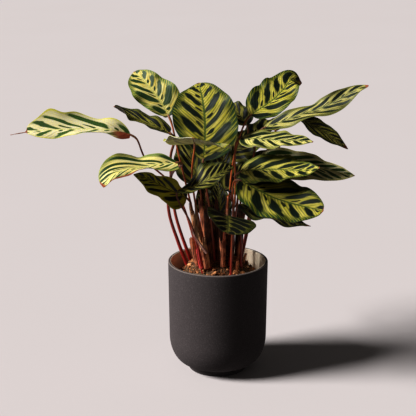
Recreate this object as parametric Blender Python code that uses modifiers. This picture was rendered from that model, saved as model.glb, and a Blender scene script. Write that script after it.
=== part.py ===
"""Potted calathea: a ceramic pot with a mound of bark mix, and painted leaves on slender red stems.

Run it in Blender 4.5. The scene is in metres with +Z up, and the origin is the centre of the
pot's flat underside. +X is the viewer's right and +Y points away from the viewer. Sizes below
are in millimetres and become metres through MM.
"""

import math
from dataclasses import dataclass

import bmesh
import bpy
from mathutils import Matrix, Vector

MM = 0.001
GAP = 0.3

# Pot
POT_RADIUS = 65.0
POT_HEIGHT = 148.0
POT_WALL = 4.0
POT_TAPER = 1.6
POT_LIP = 1.2
POT_LIP_SOFTENING = 0.35
POT_FLOOR = 13.0
CORNER_WIDTH = 22.5
CORNER_HEIGHT = 37.0
FOOT_RADIUS = 41.2
FOOT_HEIGHT = 9.0
FOOT_UNDERCUT = 0.3
FOOT_SLOPE = 2.6
FOOT_EDGE = 0.6
POT_SIDES = 40
CORNER_STEPS = 6

# Bark mix
SOIL_TOP = 153.0
SOIL_EDGE = 121.0
SOIL_SPREAD = 1.8
SOIL_CLEARANCE = 0.5
SOIL_RINGS = 7
SOIL_SIDES = 32
SOIL_BUMP = 1.5
LUMP_SHIFT = 1.0
LUMP_WAVES = (0.31, 0.27)
SMALL_LUMP = 0.6
SMALL_LUMP_WAVES = (0.17, 0.41)

# Leaves
BLADE_THICKNESS = 0.7
BLADE_ROWS = 13
BLADE_COLUMNS = 6
BLADE_END_WIDTH = 1.1
BLADE_GAP = 0.85
DENSE_STEPS = 12
SHARP_DEGREES = 40.0

# Stems
STEM_FOOT = 1.9
STEM_SLIM = 1.25
STEM_NECK = 1.1
STEM_KNUCKLE = 1.45
STEM_END = 0.75
STEM_TURN = 0.8
STEM_BOW = 0.06
STEM_FOOT_REACH = 45.0
KNUCKLE_LENGTH = 9.0
KNUCKLE_MIDDLE = 0.5
KNUCKLE_SHARPNESS = 3.0
STEM_BURIED = 11.0
STEM_STEPS = 11
TUBE_RESOLUTION = 1
HOLE_SIDES = 8
HOLE_CLEARANCE = 0.55
HOLE_OVERSHOOT = 9.0


@dataclass(frozen=True)
class Leaf:
    """One leaf: its blade is shaped round the midrib, and its stem joins the midrib to the soil."""

    name: str
    midrib: tuple
    facing: tuple
    widths: tuple
    root: tuple
    roll: tuple = (0.0, 0.0)
    fold: float = 12.0
    wave: tuple = (2.5, 3.5, 0.0)
    base_power: float = 0.42
    tip_power: float = 0.8
    skew: float = 0.0
    tail: float = 0.0
    via: tuple = ()
    girth: float = 1.0
    finish: str = "leaf_green"


@dataclass(frozen=True)
class Stub:
    """An old stem, dried or cut short: its points run from just above the soil to its end."""

    name: str
    points: tuple
    radii: tuple
    finish: str


# Midribs run from the blade's base to its tip. Facing is roughly where the upper face looks.
# Widths are the widest halves left and right of the midrib, seen from above with the tip ahead.
# Roll turns the blade about its midrib, in degrees, at even steps from base to tip. Skew moves the
# widest place towards the tip on the left and towards the base on the right. A tail is the share
# of the midrib that runs on past the blade as a dried thread. Girth scales the stem's thickness.
LEAVES = (
    Leaf(
        "far_left",
        midrib=((-110, -15, 318), (-134, -20, 325), (-171, -25, 327), (-208, -30, 327),
                (-236, -33, 325), (-256, -36, 322)),
        facing=(0.0, -0.42, 0.9),
        widths=(25, 31),
        root=(-24, -4),
        fold=16,
        wave=(7.0, 1.34, 0.33),
        tip_power=0.5,
        skew=-0.35,
        tail=0.13,
        via=((-54, -14, 247), (-91, -19, 287)),
        finish="leaf_pale",
    ),
    Leaf(
        "upper_left",
        midrib=((-63, 10, 337), (-74, 19, 355), (-88, 30, 371), (-99, 40, 381), (-108, 50, 387)),
        facing=(-0.1, -0.8, 0.6),
        widths=(26, 28),
        root=(-20, 24),
        fold=10,
        wave=(2.5, 2.6, 0.3),
        tip_power=0.6,
        skew=0.45,
        via=((-33, 0, 215), (-50, -5, 290)),
        finish="leaf_pale",
    ),
    Leaf(
        "narrow_left",
        midrib=((-61, -2, 317), (-79, 0, 326), (-98, 4, 332), (-115, 8, 339), (-132, 8, 349)),
        facing=(0.0, -0.45, 0.9),
        widths=(18, 15),
        root=(-35, 16),
        roll=(0, 10, 35),
        fold=20,
        wave=(2.0, 2.5, 0.6),
        tip_power=0.24,
        skew=0.3,
        via=((-56, 16, 208), (-61, 14, 282)),
        girth=1.5,
        finish="leaf_dark",
    ),
    Leaf(
        "centre",
        midrib=((-19, -30, 288), (-17, -24, 313), (-17, -14, 336), (-19, -2, 355), (-22, 12, 368),
                (-25, 28, 376)),
        facing=(0.0, -1.0, 0.3),
        widths=(41, 42),
        root=(-4, -20),
        fold=8,
        wave=(3.0, 3.2, 0.2),
        base_power=0.68,
        tip_power=0.8,
        skew=0.15,
    ),
    Leaf(
        "forward",
        midrib=((-29, -50, 314), (-30, -80, 324), (-30, -112, 333), (-29, -142, 341)),
        facing=(0.0, 0.2, 1.0),
        widths=(46, 36),
        root=(-10, -30),
        roll=(0, -6, -12),
        fold=-4,
        wave=(3.0, 2.6, 0.5),
        via=((-30, -24, 238), (-33, -27, 272)),
        finish="leaf_dark",
    ),
    Leaf(
        "low_left",
        midrib=((-51, -45, 289), (-72, -52, 289), (-90, -58, 287), (-111, -66, 286), (-128, -74, 280),
                (-139, -80, 267)),
        facing=(0.0, -0.4, 0.9),
        widths=(17, 25),
        root=(-40, 10),
        roll=(-5, 0, 12),
        fold=14,
        wave=(6.0, 1.56, 0.1),
        tip_power=0.5,
        skew=-0.6,
        via=((-52, 8, 170), (-64, 4, 216), (-60, -2, 262)),
        girth=1.6,
        finish="leaf_pale",
    ),
    Leaf(
        "hanging_left",
        midrib=((-40, -16, 236), (-56, -26, 247), (-73, -38, 259), (-88, -48, 270), (-104, -56, 277)),
        facing=(0.35, -0.8, 0.45),
        widths=(25, 15),
        root=(-15, -16),
        fold=14,
        wave=(2.5, 2.2, 0.5),
        via=((-25, -8, 184), (-34, -10, 212)),
        finish="leaf_dark",
    ),
    Leaf(
        "behind_centre",
        midrib=((-25, 10, 250), (-31, 14, 271), (-36, 20, 290), (-40, 34, 311)),
        facing=(-0.2, -1.0, 0.3),
        widths=(25, 18),
        root=(-12, 8),
        fold=12,
        finish="leaf_dark",
    ),
    Leaf(
        "lower_centre",
        midrib=((-48, -43, 254), (-31, -50, 260), (-13, -49, 268), (6, -40, 276), (19, -30, 281)),
        facing=(0.1, -0.5, 0.85),
        widths=(24, 17),
        root=(-20, -30),
        roll=(-20, 0, 10),
        fold=10,
        wave=(3.0, 2.5, 0.4),
        skew=0.5,
        via=((-34, -32, 205),),
        finish="leaf_dark",
    ),
    Leaf(
        "upper_right",
        midrib=((41, 5, 339), (55, 12, 347), (70, 20, 356), (83, 30, 367), (94, 40, 377), (108, 50, 373)),
        facing=(-0.15, -0.75, 0.65),
        widths=(29, 24),
        root=(10, 6),
        fold=10,
        wave=(2.5, 3.0, 0.0),
        tip_power=0.7,
        via=((20, 0, 285),),
    ),
    Leaf(
        "far_right",
        midrib=((57, -7, 325), (80, -11, 334), (104, -15, 344), (128, -19, 353), (154, -21, 367),
                (171, -22, 377), (184, -23, 381)),
        facing=(0.1, -0.5, 0.85),
        widths=(13, 17),
        root=(24, 14),
        roll=(0, -5, 20, 0),
        fold=10,
        wave=(4.0, 2.0, 0.3),
        tip_power=0.6,
    ),
    Leaf(
        "drooping_right",
        midrib=((99, 25, 334), (120, 23, 323), (137, 21, 314), (153, 19, 303), (167, 18, 292)),
        facing=(0.4, -0.3, 0.9),
        widths=(12, 17),
        root=(30, 22),
        roll=(0, 30, 20),
        fold=16,
        wave=(1.5, 2.5, 0.0),
        via=((70, 30, 305),),
        finish="leaf_dark",
    ),
    Leaf(
        "right_upper",
        midrib=((29, -20, 315), (49, -30, 316), (75, -43, 317), (99, -55, 319), (114, -62, 319)),
        facing=(0.1, -0.3, 0.95),
        widths=(23, 29),
        root=(14, -6),
        fold=4,
        wave=(1.8, 3.0, 0.2),
    ),
    Leaf(
        "right_middle",
        midrib=((26, -52, 279), (42, -57, 283), (68, -66, 286), (92, -76, 287), (108, -85, 290),
                (120, -90, 294)),
        facing=(0.1, -0.42, 0.9),
        widths=(28, 32),
        root=(14, -24),
        fold=6,
        wave=(2.0, 3.2, 0.0),
        via=((22, -43, 225), (24, -47, 262)),
    ),
    Leaf(
        "right_rear",
        midrib=((54, 12, 285), (78, 3, 284), (105, -11, 280), (133, -25, 276), (155, -34, 273),
                (169, -38, 271)),
        facing=(0.1, -0.5, 0.85),
        widths=(21, 36),
        root=(30, 2),
        fold=4,
        wave=(2.0, 2.6, 0.5),
        via=((47, 6, 236),),
        finish="leaf_dark",
    ),
    Leaf(
        "right_front",
        midrib=((26, -60, 271), (47, -72, 262), (67, -84, 255), (88, -96, 251), (107, -106, 249),
                (123, -114, 247)),
        facing=(0.15, -0.65, 0.75),
        widths=(31, 36),
        root=(16, -38),
        fold=8,
        wave=(3.0, 3.0, 0.4),
        tip_power=0.5,
        via=((18, -44, 222),),
    ),
    Leaf(
        "right_low",
        midrib=((27, -22, 229), (55, -34, 221), (83, -46, 216), (101, -54, 213), (114, -60, 212)),
        facing=(0.2, -0.1, 1.0),
        widths=(20, 30),
        root=(30, -16),
        fold=6,
        wave=(4.5, 2.2, 0.1),
        finish="leaf_dark",
    ),
    Leaf(
        "front_low",
        midrib=((11, -64, 227), (11, -78, 227), (11, -94, 223), (10, -108, 217)),
        facing=(0.35, -0.2, 0.92),
        widths=(36, 29),
        root=(6, -27),
        fold=10,
        wave=(1.5, 2.0, 0.6),
        base_power=0.3,
        tip_power=0.5,
        via=((8, -35, 200), (11, -47, 241), (12, -57, 249)),
        girth=1.3,
        finish="leaf_dark",
    ),
    Leaf(
        "top_rear",
        midrib=((37, 24, 322), (29, 34, 332), (18, 46, 340), (5, 58, 344)),
        facing=(0.1, -0.6, 0.8),
        widths=(16, 16),
        root=(6, 22),
        fold=14,
        finish="leaf_dark",
    ),
    Leaf(
        "rear_right",
        midrib=((38, 34, 303), (58, 50, 312), (80, 68, 316), (98, 84, 312)),
        facing=(0.0, -0.3, 0.95),
        widths=(18, 18),
        root=(17, 32),
        fold=8,
        finish="leaf_dark",
    ),
    Leaf(
        "inner_high",
        midrib=((5, 9, 258), (6, 10, 276), (7, 14, 294), (7, 20, 311)),
        facing=(0.1, -1.0, 0.2),
        widths=(17, 13),
        root=(0, 14),
        finish="leaf_dark",
    ),
    Leaf(
        "inner_low",
        midrib=((2, -8, 206), (2, -9, 222), (1, -8, 238), (0, -4, 254)),
        facing=(0.0, -1.0, 0.1),
        widths=(16, 16),
        root=(1, -6),
        finish="leaf_dark",
    ),
    Leaf(
        "back_high",
        midrib=((-16, 52, 306), (-30, 74, 320), (-46, 98, 326), (-62, 122, 320), (-72, 136, 310)),
        facing=(0.0, 0.1, 1.0),
        widths=(26, 27),
        root=(-6, 34),
        fold=10,
        wave=(3.0, 3.0, 0.2),
        tip_power=0.65,
    ),
    Leaf(
        "back_right",
        midrib=((24, 58, 268), (40, 82, 280), (58, 106, 282), (74, 130, 272), (82, 144, 262)),
        facing=(0.1, 0.1, 1.0),
        widths=(26, 25),
        root=(8, 42),
        fold=10,
        wave=(3.0, 3.0, 0.6),
        tip_power=0.65,
    ),
    Leaf(
        "back_side",
        midrib=((50, 42, 236), (72, 58, 248), (94, 76, 250), (114, 92, 240), (124, 100, 232)),
        facing=(0.1, 0.1, 1.0),
        widths=(24, 25),
        root=(30, 34),
        fold=10,
        wave=(3.0, 2.8, 0.0),
        tip_power=0.65,
    ),
    Leaf(
        "back_low",
        midrib=((-8, 66, 212), (-10, 88, 224), (-12, 112, 228), (-16, 136, 220), (-18, 148, 211)),
        facing=(0.0, 0.1, 1.0),
        widths=(22, 23),
        root=(-10, 46),
        fold=12,
        wave=(3.0, 2.8, 0.4),
        tip_power=0.65,
        finish="leaf_dark",
    ),
)

# Points run from the soil up.
STUBS = (
    Stub("stub_right", points=((24, -26, 148), (25, -27, 156)), radii=(2.2, 2.0), finish="stem_brown"),
    Stub("stub_far_right", points=((33, -4, 146), (36, -4, 158)), radii=(1.9, 1.6), finish="stem_brown"),
    Stub(
        "dry_stem_left",
        points=((-21, -22, 150), (-27, -22, 182), (-33, -21, 214), (-36, -20, 232)),
        radii=(2.4, 2.6, 2.0, 1.0),
        finish="stem_tan",
    ),
    Stub(
        "dry_stem_centre",
        points=((-10, -10, 152), (-14, -8, 176), (-16, -6, 200)),
        radii=(2.2, 2.0, 0.9),
        finish="stem_tan",
    ),
)

# Base colour, roughness and metallic value of each material
FINISHES = {
    "pot_charcoal": ((0.045, 0.042, 0.042), 0.85, 0.0),
    "bark_mix": ((0.12, 0.055, 0.025), 0.95, 0.0),
    "leaf_pale": ((0.42, 0.42, 0.16), 0.45, 0.0),
    "leaf_green": ((0.20, 0.27, 0.06), 0.42, 0.0),
    "leaf_dark": ((0.07, 0.12, 0.04), 0.42, 0.0),
    "stem_red": ((0.30, 0.06, 0.035), 0.5, 0.0),
    "stem_brown": ((0.12, 0.05, 0.03), 0.8, 0.0),
    "stem_tan": ((0.35, 0.20, 0.10), 0.85, 0.0),
}


def clear_scene():
    for obj in list(bpy.data.objects):
        bpy.data.objects.remove(obj, do_unlink=True)


def collection_named(name):
    made = bpy.data.collections.new(name)
    bpy.context.scene.collection.children.link(made)
    return made


def material_named(name):
    colour, roughness, metallic = FINISHES[name]
    made = bpy.data.materials.new(name)
    made.use_nodes = True
    shader = made.node_tree.nodes["Principled BSDF"]
    shader.inputs["Base Color"].default_value = (*colour, 1.0)
    shader.inputs["Roughness"].default_value = roughness
    shader.inputs["Metallic"].default_value = metallic
    return made


def object_from(data, name, collection, material):
    """Links a new object that holds the mesh or curve."""
    made = bpy.data.objects.new(name, data)
    data.materials.append(material)
    collection.objects.link(made)
    return made


def shade_round(mesh):
    mesh.shade_smooth()
    mesh.set_sharp_from_angle(angle=math.radians(SHARP_DEGREES))


def catmull_rom(before, start, end, after, share):
    """The point between start and end at this share, on a centripetal Catmull-Rom spline."""
    knots = [0.0]
    for first, second in ((before, start), (start, end), (end, after)):
        knots.append(knots[-1] + math.sqrt(max((second - first).length, 1e-6)))
    t = knots[1] + share * (knots[2] - knots[1])

    def between(a, b, low, high):
        return a * ((high - t) / (high - low)) + b * ((t - low) / (high - low))

    a1 = between(before, start, knots[0], knots[1])
    a2 = between(start, end, knots[1], knots[2])
    a3 = between(end, after, knots[2], knots[3])
    b1 = between(a1, a2, knots[0], knots[2])
    b2 = between(a2, a3, knots[1], knots[3])
    return between(b1, b2, knots[1], knots[2])


def smooth_path(points, count):
    """Evenly spaced points along a smooth curve through the given ones."""
    given = [Vector(point) for point in points]
    padded = [2 * given[0] - given[1], *given, 2 * given[-1] - given[-2]]
    dense = []
    for i in range(len(given) - 1):
        for step in range(DENSE_STEPS):
            dense.append(catmull_rom(*padded[i : i + 4], step / DENSE_STEPS))
    dense.append(given[-1])
    travelled = [0.0]
    for first, second in zip(dense, dense[1:]):
        travelled.append(travelled[-1] + (second - first).length)
    path = []
    place = 0
    for i in range(count):
        target = travelled[-1] * i / (count - 1)
        while place < len(dense) - 2 and travelled[place + 1] < target:
            place += 1
        share = (target - travelled[place]) / (travelled[place + 1] - travelled[place])
        path.append(dense[place].lerp(dense[place + 1], min(1.0, share)))
    return path


def tangents_of(path):
    ends = [path[0], *path, path[-1]]
    return [(ends[i + 2] - ends[i]).normalized() for i in range(len(path))]


def value_along(values, share):
    """A value read at this share of the way through evenly spaced ones, eased between them."""
    place = share * (len(values) - 1)
    low = min(int(place), len(values) - 2)
    part = place - low
    eased = part * part * (3.0 - 2.0 * part)
    return values[low] + (values[low + 1] - values[low]) * eased


def half_width(leaf, along, across):
    """Distance from the midrib to the margin: a round base, the widest part near 0.4, a pointed tip."""
    base, tip = leaf.base_power, leaf.tip_power
    along = min(1.0, along / (1.0 - leaf.tail))
    along = along ** (1.0 + leaf.skew if across < 0 else 1.0 - leaf.skew)
    peak = base / (base + tip)
    highest = peak**base * (1.0 - peak) ** tip
    rounded = max(along, 0.0) ** base * max(1.0 - along, 0.0) ** tip / highest
    widest = leaf.widths[0] if across < 0 else leaf.widths[1]
    return max(widest * rounded, BLADE_END_WIDTH)


def blade_point(leaf, centre, tangent, along, across):
    """A point of the blade's middle surface, in millimetres.

    along runs from 0 at the base to 1 at the tip, and across from -1 to 1 between the margins.
    """
    facing = Vector(leaf.facing)
    normal = (facing - tangent * facing.dot(tangent)).normalized()
    normal.rotate(Matrix.Rotation(math.radians(value_along(leaf.roll, along)), 3, tangent))
    side = tangent.cross(normal)
    reach = half_width(leaf, along, across) * across
    fold = math.radians(leaf.fold)
    height, count, phase = leaf.wave
    turn = 2.0 * math.pi * (count * along + phase + (0.5 if across < 0 else 0.0))
    ripple = height * math.sin(turn) * across * across * math.sin(math.pi * along)
    lift = abs(reach) * math.sin(fold) + ripple
    return centre + side * (reach * math.cos(fold)) + normal * lift


def make_blade(leaf, collection, material):
    """A grid shaped into the blade, split into triangles and given its thickness."""
    path = smooth_path(leaf.midrib, BLADE_ROWS + 1)
    tangents = tangents_of(path)
    shape = bmesh.new()
    bmesh.ops.create_grid(shape, x_segments=BLADE_COLUMNS, y_segments=BLADE_ROWS, size=1.0)
    for vertex in shape.verts:
        across = vertex.co.x
        row = round((vertex.co.y + 1.0) / 2.0 * BLADE_ROWS)
        place = blade_point(leaf, path[row], tangents[row], row / BLADE_ROWS, across)
        vertex.co = place * MM
    bmesh.ops.triangulate(shape, faces=shape.faces[:], quad_method="FIXED")
    mesh = bpy.data.meshes.new("leaf_" + leaf.name)
    shape.to_mesh(mesh)
    shape.free()
    shade_round(mesh)
    made = object_from(mesh, "leaf_" + leaf.name, collection, material)
    wall = made.modifiers.new("thickness", "SOLIDIFY")
    wall.thickness = BLADE_THICKNESS * MM
    wall.offset = 0.0


def soil_height(x, y):
    """Height of the mound above a place, in millimetres, with its lumps."""
    inner = inner_radius(SOIL_EDGE)
    out = min(1.0, math.hypot(x, y) / inner)
    mound = SOIL_EDGE + (SOIL_TOP - SOIL_EDGE) * (1.0 + math.cos(math.pi * out**SOIL_SPREAD)) / 2.0
    lumps = math.sin(x * LUMP_WAVES[0] + LUMP_SHIFT) * math.cos(y * LUMP_WAVES[1])
    lumps += SMALL_LUMP * math.sin(x * SMALL_LUMP_WAVES[0] - y * SMALL_LUMP_WAVES[1])
    return mound + SOIL_BUMP * lumps * (1.0 - out**4)


def stem_path(leaf):
    """Points from the stem's buried end to just short of the blade."""
    base = Vector(leaf.midrib[0])
    heading = (smooth_path(leaf.midrib, BLADE_ROWS + 1)[1] - base).normalized()
    root = Vector((*leaf.root, soil_height(*leaf.root)))
    if leaf.via:
        middle = [Vector(point) for point in leaf.via]
    else:
        middle = [root.lerp(base, 0.5) + Vector((0.0, 0.0, STEM_BOW)) * (base - root).length]
    arrival = (base - middle[-1]).normalized()
    way = (heading + arrival * STEM_TURN).normalized()
    buried = root - (middle[0] - root).normalized() * STEM_BURIED
    end = base - way * BLADE_GAP
    return smooth_path([buried, root, *middle, end - way * KNUCKLE_LENGTH, end], STEM_STEPS)


def stem_radius(leaf, share, length):
    """Thick at the foot, slim for most of the way, and a knuckle just under the blade."""
    foot = math.exp(-share * length / STEM_FOOT_REACH)
    slim = STEM_SLIM + (STEM_NECK - STEM_SLIM) * share
    from_middle = (1.0 - share) * length / KNUCKLE_LENGTH - KNUCKLE_MIDDLE
    knuckle = math.exp(-KNUCKLE_SHARPNESS * from_middle**2)
    if share >= 1.0:
        return STEM_END
    return leaf.girth * (slim + (STEM_FOOT - slim) * foot) + (STEM_KNUCKLE - slim) * knuckle


def tube_curve(name, path, radii):
    """A curve with a round bevel through points in millimetres."""
    curve = bpy.data.curves.new(name, "CURVE")
    curve.dimensions = "3D"
    curve.bevel_depth = MM
    curve.bevel_resolution = TUBE_RESOLUTION
    curve.use_fill_caps = True
    spline = curve.splines.new("POLY")
    spline.points.add(len(path) - 1)
    for point, place, radius in zip(spline.points, path, radii):
        point.co = (*(Vector(place) * MM), 1.0)
        point.radius = radius
    spline.use_smooth = True
    return curve


def path_length(path):
    return sum((second - first).length for first, second in zip(path, path[1:]))


def hole_along(name, path, radii, cutters):
    """A plain round hole for the buried stretch of a stem, open above the soil."""
    start = path[0]
    way = (path[1] - start).normalized()
    foot = start - way * GAP
    length = STEM_BURIED + HOLE_OVERSHOOT
    widest = max(radii[:2]) + HOLE_CLEARANCE
    shape = bmesh.new()
    bmesh.ops.create_cone(
        shape,
        cap_ends=True,
        segments=HOLE_SIDES,
        radius1=widest * MM,
        radius2=widest * MM,
        depth=length * MM,
    )
    mesh = bpy.data.meshes.new(name)
    shape.to_mesh(mesh)
    shape.free()
    made = bpy.data.objects.new(name, mesh)
    made.rotation_mode = "QUATERNION"
    made.rotation_quaternion = way.to_track_quat("Z", "Y")
    made.location = (foot + way * (length / 2.0)) * MM
    made.hide_render = True
    made.display_type = "WIRE"
    cutters.objects.link(made)


def make_stems(collection, cutters, material):
    for leaf in LEAVES:
        path = stem_path(leaf)
        length = path_length(path)
        radii = [stem_radius(leaf, i / (len(path) - 1), length) for i in range(len(path))]
        curve = tube_curve("stem_" + leaf.name, path, radii)
        object_from(curve, "stem_" + leaf.name, collection, material)
        hole_along("hole_" + leaf.name, path, radii, cutters)


def make_stubs(collection, cutters, materials):
    for stub in STUBS:
        first = Vector(stub.points[0])
        way = (Vector(stub.points[1]) - first).normalized()
        sunk = first.z - soil_height(first.x, first.y) + STEM_BURIED
        path = [first - way * sunk]
        path += [Vector(point) for point in stub.points]
        radii = [stub.radii[0], *stub.radii]
        curve = tube_curve(stub.name, path, radii)
        object_from(curve, stub.name, collection, materials[stub.finish])
        hole_along("hole_" + stub.name, path, radii, cutters)


def outer_radius(height):
    """Outside radius of the pot's wall above the rounded corner."""
    return POT_RADIUS - POT_TAPER * (POT_HEIGHT - height) / POT_HEIGHT


def inner_radius(height):
    return outer_radius(height) - POT_WALL


def corner_points(radius, level, width, height):
    """A quarter ellipse from the wall at this radius down to a flat bottom at this level."""
    points = []
    for step in range(CORNER_STEPS + 1):
        turn = math.pi / 2.0 * step / CORNER_STEPS
        points.append(
            (radius - width * (1.0 - math.cos(turn)), level + height * (1.0 - math.sin(turn)))
        )
    return points


def inside_profile(clearance):
    """The pot's inside from near the rim down to the middle of its floor, moved in by a clearance."""
    level = POT_FLOOR + clearance
    width = CORNER_WIDTH - POT_WALL / 2.0
    height = CORNER_HEIGHT - POT_WALL
    radius = inner_radius(level + height) - clearance
    return corner_points(radius, level, width, height) + [(0.0, level)]


def turned(name, profile, sides, collection, material):
    """A profile of radius and height pairs, in millimetres, turned about the upright axis."""
    mesh = bpy.data.meshes.new(name)
    points = [(radius * MM, 0.0, height * MM) for radius, height in profile]
    mesh.from_pydata(points, [(i, i + 1) for i in range(len(points) - 1)], [])
    made = object_from(mesh, name, collection, material)
    spin = made.modifiers.new("turn", "SCREW")
    spin.steps = sides
    spin.render_steps = sides
    spin.use_merge_vertices = True
    spin.merge_threshold = 0.00001
    spin.use_smooth_shade = True
    return made


def make_pot(collection, material):
    """A slightly tapered cup with a rounded lower corner, a thin lip and a low foot."""
    lip_out = outer_radius(POT_HEIGHT - POT_LIP)
    lip_in = lip_out - POT_WALL
    corner_top = FOOT_HEIGHT + CORNER_HEIGHT
    softened = POT_LIP * POT_LIP_SOFTENING
    profile = list(reversed(inside_profile(0.0)))
    profile += [
        (lip_in, POT_HEIGHT - POT_LIP),
        (lip_in + softened, POT_HEIGHT - softened),
        (lip_in + POT_LIP, POT_HEIGHT),
        (lip_out - POT_LIP, POT_HEIGHT),
        (lip_out - softened, POT_HEIGHT - softened),
        (lip_out, POT_HEIGHT - POT_LIP),
    ]
    profile += corner_points(outer_radius(corner_top), FOOT_HEIGHT, CORNER_WIDTH, CORNER_HEIGHT)
    profile += [
        (FOOT_RADIUS, FOOT_HEIGHT - FOOT_UNDERCUT),
        (FOOT_RADIUS - FOOT_SLOPE, FOOT_EDGE),
        (FOOT_RADIUS - FOOT_SLOPE - FOOT_EDGE, 0.0),
        (0.0, 0.0),
    ]
    turned("pot", profile, POT_SIDES, collection, material)


def make_soil(collection, cutters, material):
    """The bark mix fills the pot, heaped in the middle, with a plain hole for every stem."""
    edge = inner_radius(SOIL_EDGE) - SOIL_CLEARANCE
    profile = [(edge * ring / SOIL_RINGS, SOIL_EDGE) for ring in range(SOIL_RINGS + 1)]
    profile += inside_profile(SOIL_CLEARANCE)
    made = turned("soil", profile, SOIL_SIDES, collection, material)
    graph = bpy.context.evaluated_depsgraph_get()
    mesh = bpy.data.meshes.new_from_object(made.evaluated_get(graph))
    made.modifiers.clear()
    made.data = mesh
    for vertex in mesh.vertices:
        if vertex.co.z > (SOIL_EDGE - GAP) * MM:
            vertex.co.z = soil_height(vertex.co.x / MM, vertex.co.y / MM) * MM
    holes = made.modifiers.new("stem_holes", "BOOLEAN")
    holes.operation = "DIFFERENCE"
    holes.solver = "EXACT"
    holes.operand_type = "COLLECTION"
    holes.collection = cutters


def main():
    clear_scene()
    parts = collection_named("potted_calathea")
    cutters = collection_named("cutters")
    materials = {name: material_named(name) for name in FINISHES}
    make_pot(parts, materials["pot_charcoal"])
    for leaf in LEAVES:
        make_blade(leaf, parts, materials[leaf.finish])
    make_stems(parts, cutters, materials["stem_red"])
    make_stubs(parts, cutters, materials)
    make_soil(parts, cutters, materials["bark_mix"])


if __name__ == "__main__":
    main()
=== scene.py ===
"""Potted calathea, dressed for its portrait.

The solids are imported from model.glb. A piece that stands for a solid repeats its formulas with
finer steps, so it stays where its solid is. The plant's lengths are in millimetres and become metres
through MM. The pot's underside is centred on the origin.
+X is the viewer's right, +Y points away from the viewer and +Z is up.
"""

import logging
import math
import random
from collections.abc import Sequence
from dataclasses import dataclass
from enum import Enum

import bpy
from mathutils import Matrix, Vector, noise


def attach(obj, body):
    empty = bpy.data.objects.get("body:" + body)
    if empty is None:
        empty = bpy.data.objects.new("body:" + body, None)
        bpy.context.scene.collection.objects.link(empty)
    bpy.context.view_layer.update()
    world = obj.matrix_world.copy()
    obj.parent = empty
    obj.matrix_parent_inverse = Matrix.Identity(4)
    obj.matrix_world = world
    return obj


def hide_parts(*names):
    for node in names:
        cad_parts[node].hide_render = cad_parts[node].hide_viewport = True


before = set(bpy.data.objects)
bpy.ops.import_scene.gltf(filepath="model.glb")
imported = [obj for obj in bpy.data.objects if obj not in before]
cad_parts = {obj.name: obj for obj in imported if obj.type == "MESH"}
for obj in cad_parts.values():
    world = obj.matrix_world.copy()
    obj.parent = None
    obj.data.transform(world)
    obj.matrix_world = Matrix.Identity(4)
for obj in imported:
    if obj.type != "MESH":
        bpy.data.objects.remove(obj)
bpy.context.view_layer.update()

LOG = logging.getLogger("calathea")
MM = 0.001
BODY = "root"
DENSE_STEPS = 40
ROUND_ANGLE = math.radians(50)
TUBE_ROUNDNESS = 3
NOISE_ROUGHNESS = 0.55

Triple = tuple[float, float, float]
Pair = tuple[float, float]
Points = tuple[Triple, ...]


def linear(colour: Triple) -> tuple[float, float, float, float]:
    """Turns screen values from 0 to 255 into the linear colour that a shader takes."""
    parts = [value / 255.0 for value in colour]
    return (*[p / 12.92 if p <= 0.04045 else ((p + 0.055) / 1.055) ** 2.4 for p in parts], 1.0)


def clamp(value: float) -> float:
    """Keeps a value from 0 to 1."""
    return max(0.0, min(1.0, value))


def smoothstep(low: float, high: float, value: float) -> float:
    """Eases from 0 at low to 1 at high."""
    part = clamp((value - low) / (high - low))
    return part * part * (3.0 - 2.0 * part)


class Value:
    """A number on a node's socket. Arithmetic on it adds Math nodes to its tree."""

    def __init__(self, tree: "Tree", socket: bpy.types.NodeSocket) -> None:
        """Keeps the socket and the tree that it belongs to."""
        self.tree = tree
        self.socket = socket

    def __add__(self, other: "Value | float") -> "Value":
        """Adds."""
        return self.tree.math("ADD", self, other)

    def __radd__(self, other: float) -> "Value":
        """Adds, with the number first."""
        return self.tree.math("ADD", other, self)

    def __sub__(self, other: "Value | float") -> "Value":
        """Subtracts."""
        return self.tree.math("SUBTRACT", self, other)

    def __rsub__(self, other: float) -> "Value":
        """Subtracts from a number."""
        return self.tree.math("SUBTRACT", other, self)

    def __mul__(self, other: "Value | float") -> "Value":
        """Multiplies."""
        return self.tree.math("MULTIPLY", self, other)

    def __rmul__(self, other: float) -> "Value":
        """Multiplies, with the number first."""
        return self.tree.math("MULTIPLY", other, self)

    def __truediv__(self, other: "Value | float") -> "Value":
        """Divides."""
        return self.tree.math("DIVIDE", self, other)

    def __pow__(self, other: float) -> "Value":
        """Raises to a power."""
        return self.tree.math("POWER", self, other)

    def __gt__(self, other: "Value | float") -> "Value":
        """1 where this is the greater, and 0 elsewhere."""
        return self.tree.math("GREATER_THAN", self, other)

    def __abs__(self) -> "Value":
        """The size without the sign."""
        return self.tree.math("ABSOLUTE", self)

    def floor(self) -> "Value":
        """The whole number below."""
        return self.tree.math("FLOOR", self)

    def sine(self) -> "Value":
        """The sine, of an angle in radians."""
        return self.tree.math("SINE", self)

    def at_most(self, other: "Value | float") -> "Value":
        """The smaller of the two."""
        return self.tree.math("MINIMUM", self, other)

    def ramp(self, low: float, high: float) -> "Value":
        """Eases from 0 to 1, or falls where low is above high.

        Args:
            low: Where it is 0.
            high: Where it is 1.

        Returns:
            The eased value.
        """
        made = self.tree.node(
            "ShaderNodeMapRange",
            {"interpolation_type": "SMOOTHSTEP"},
            {"Value": self, "From Min": low, "From Max": high, "To Min": 0.0, "To Max": 1.0},
        )
        return Value(self.tree, made.outputs["Result"])


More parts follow.
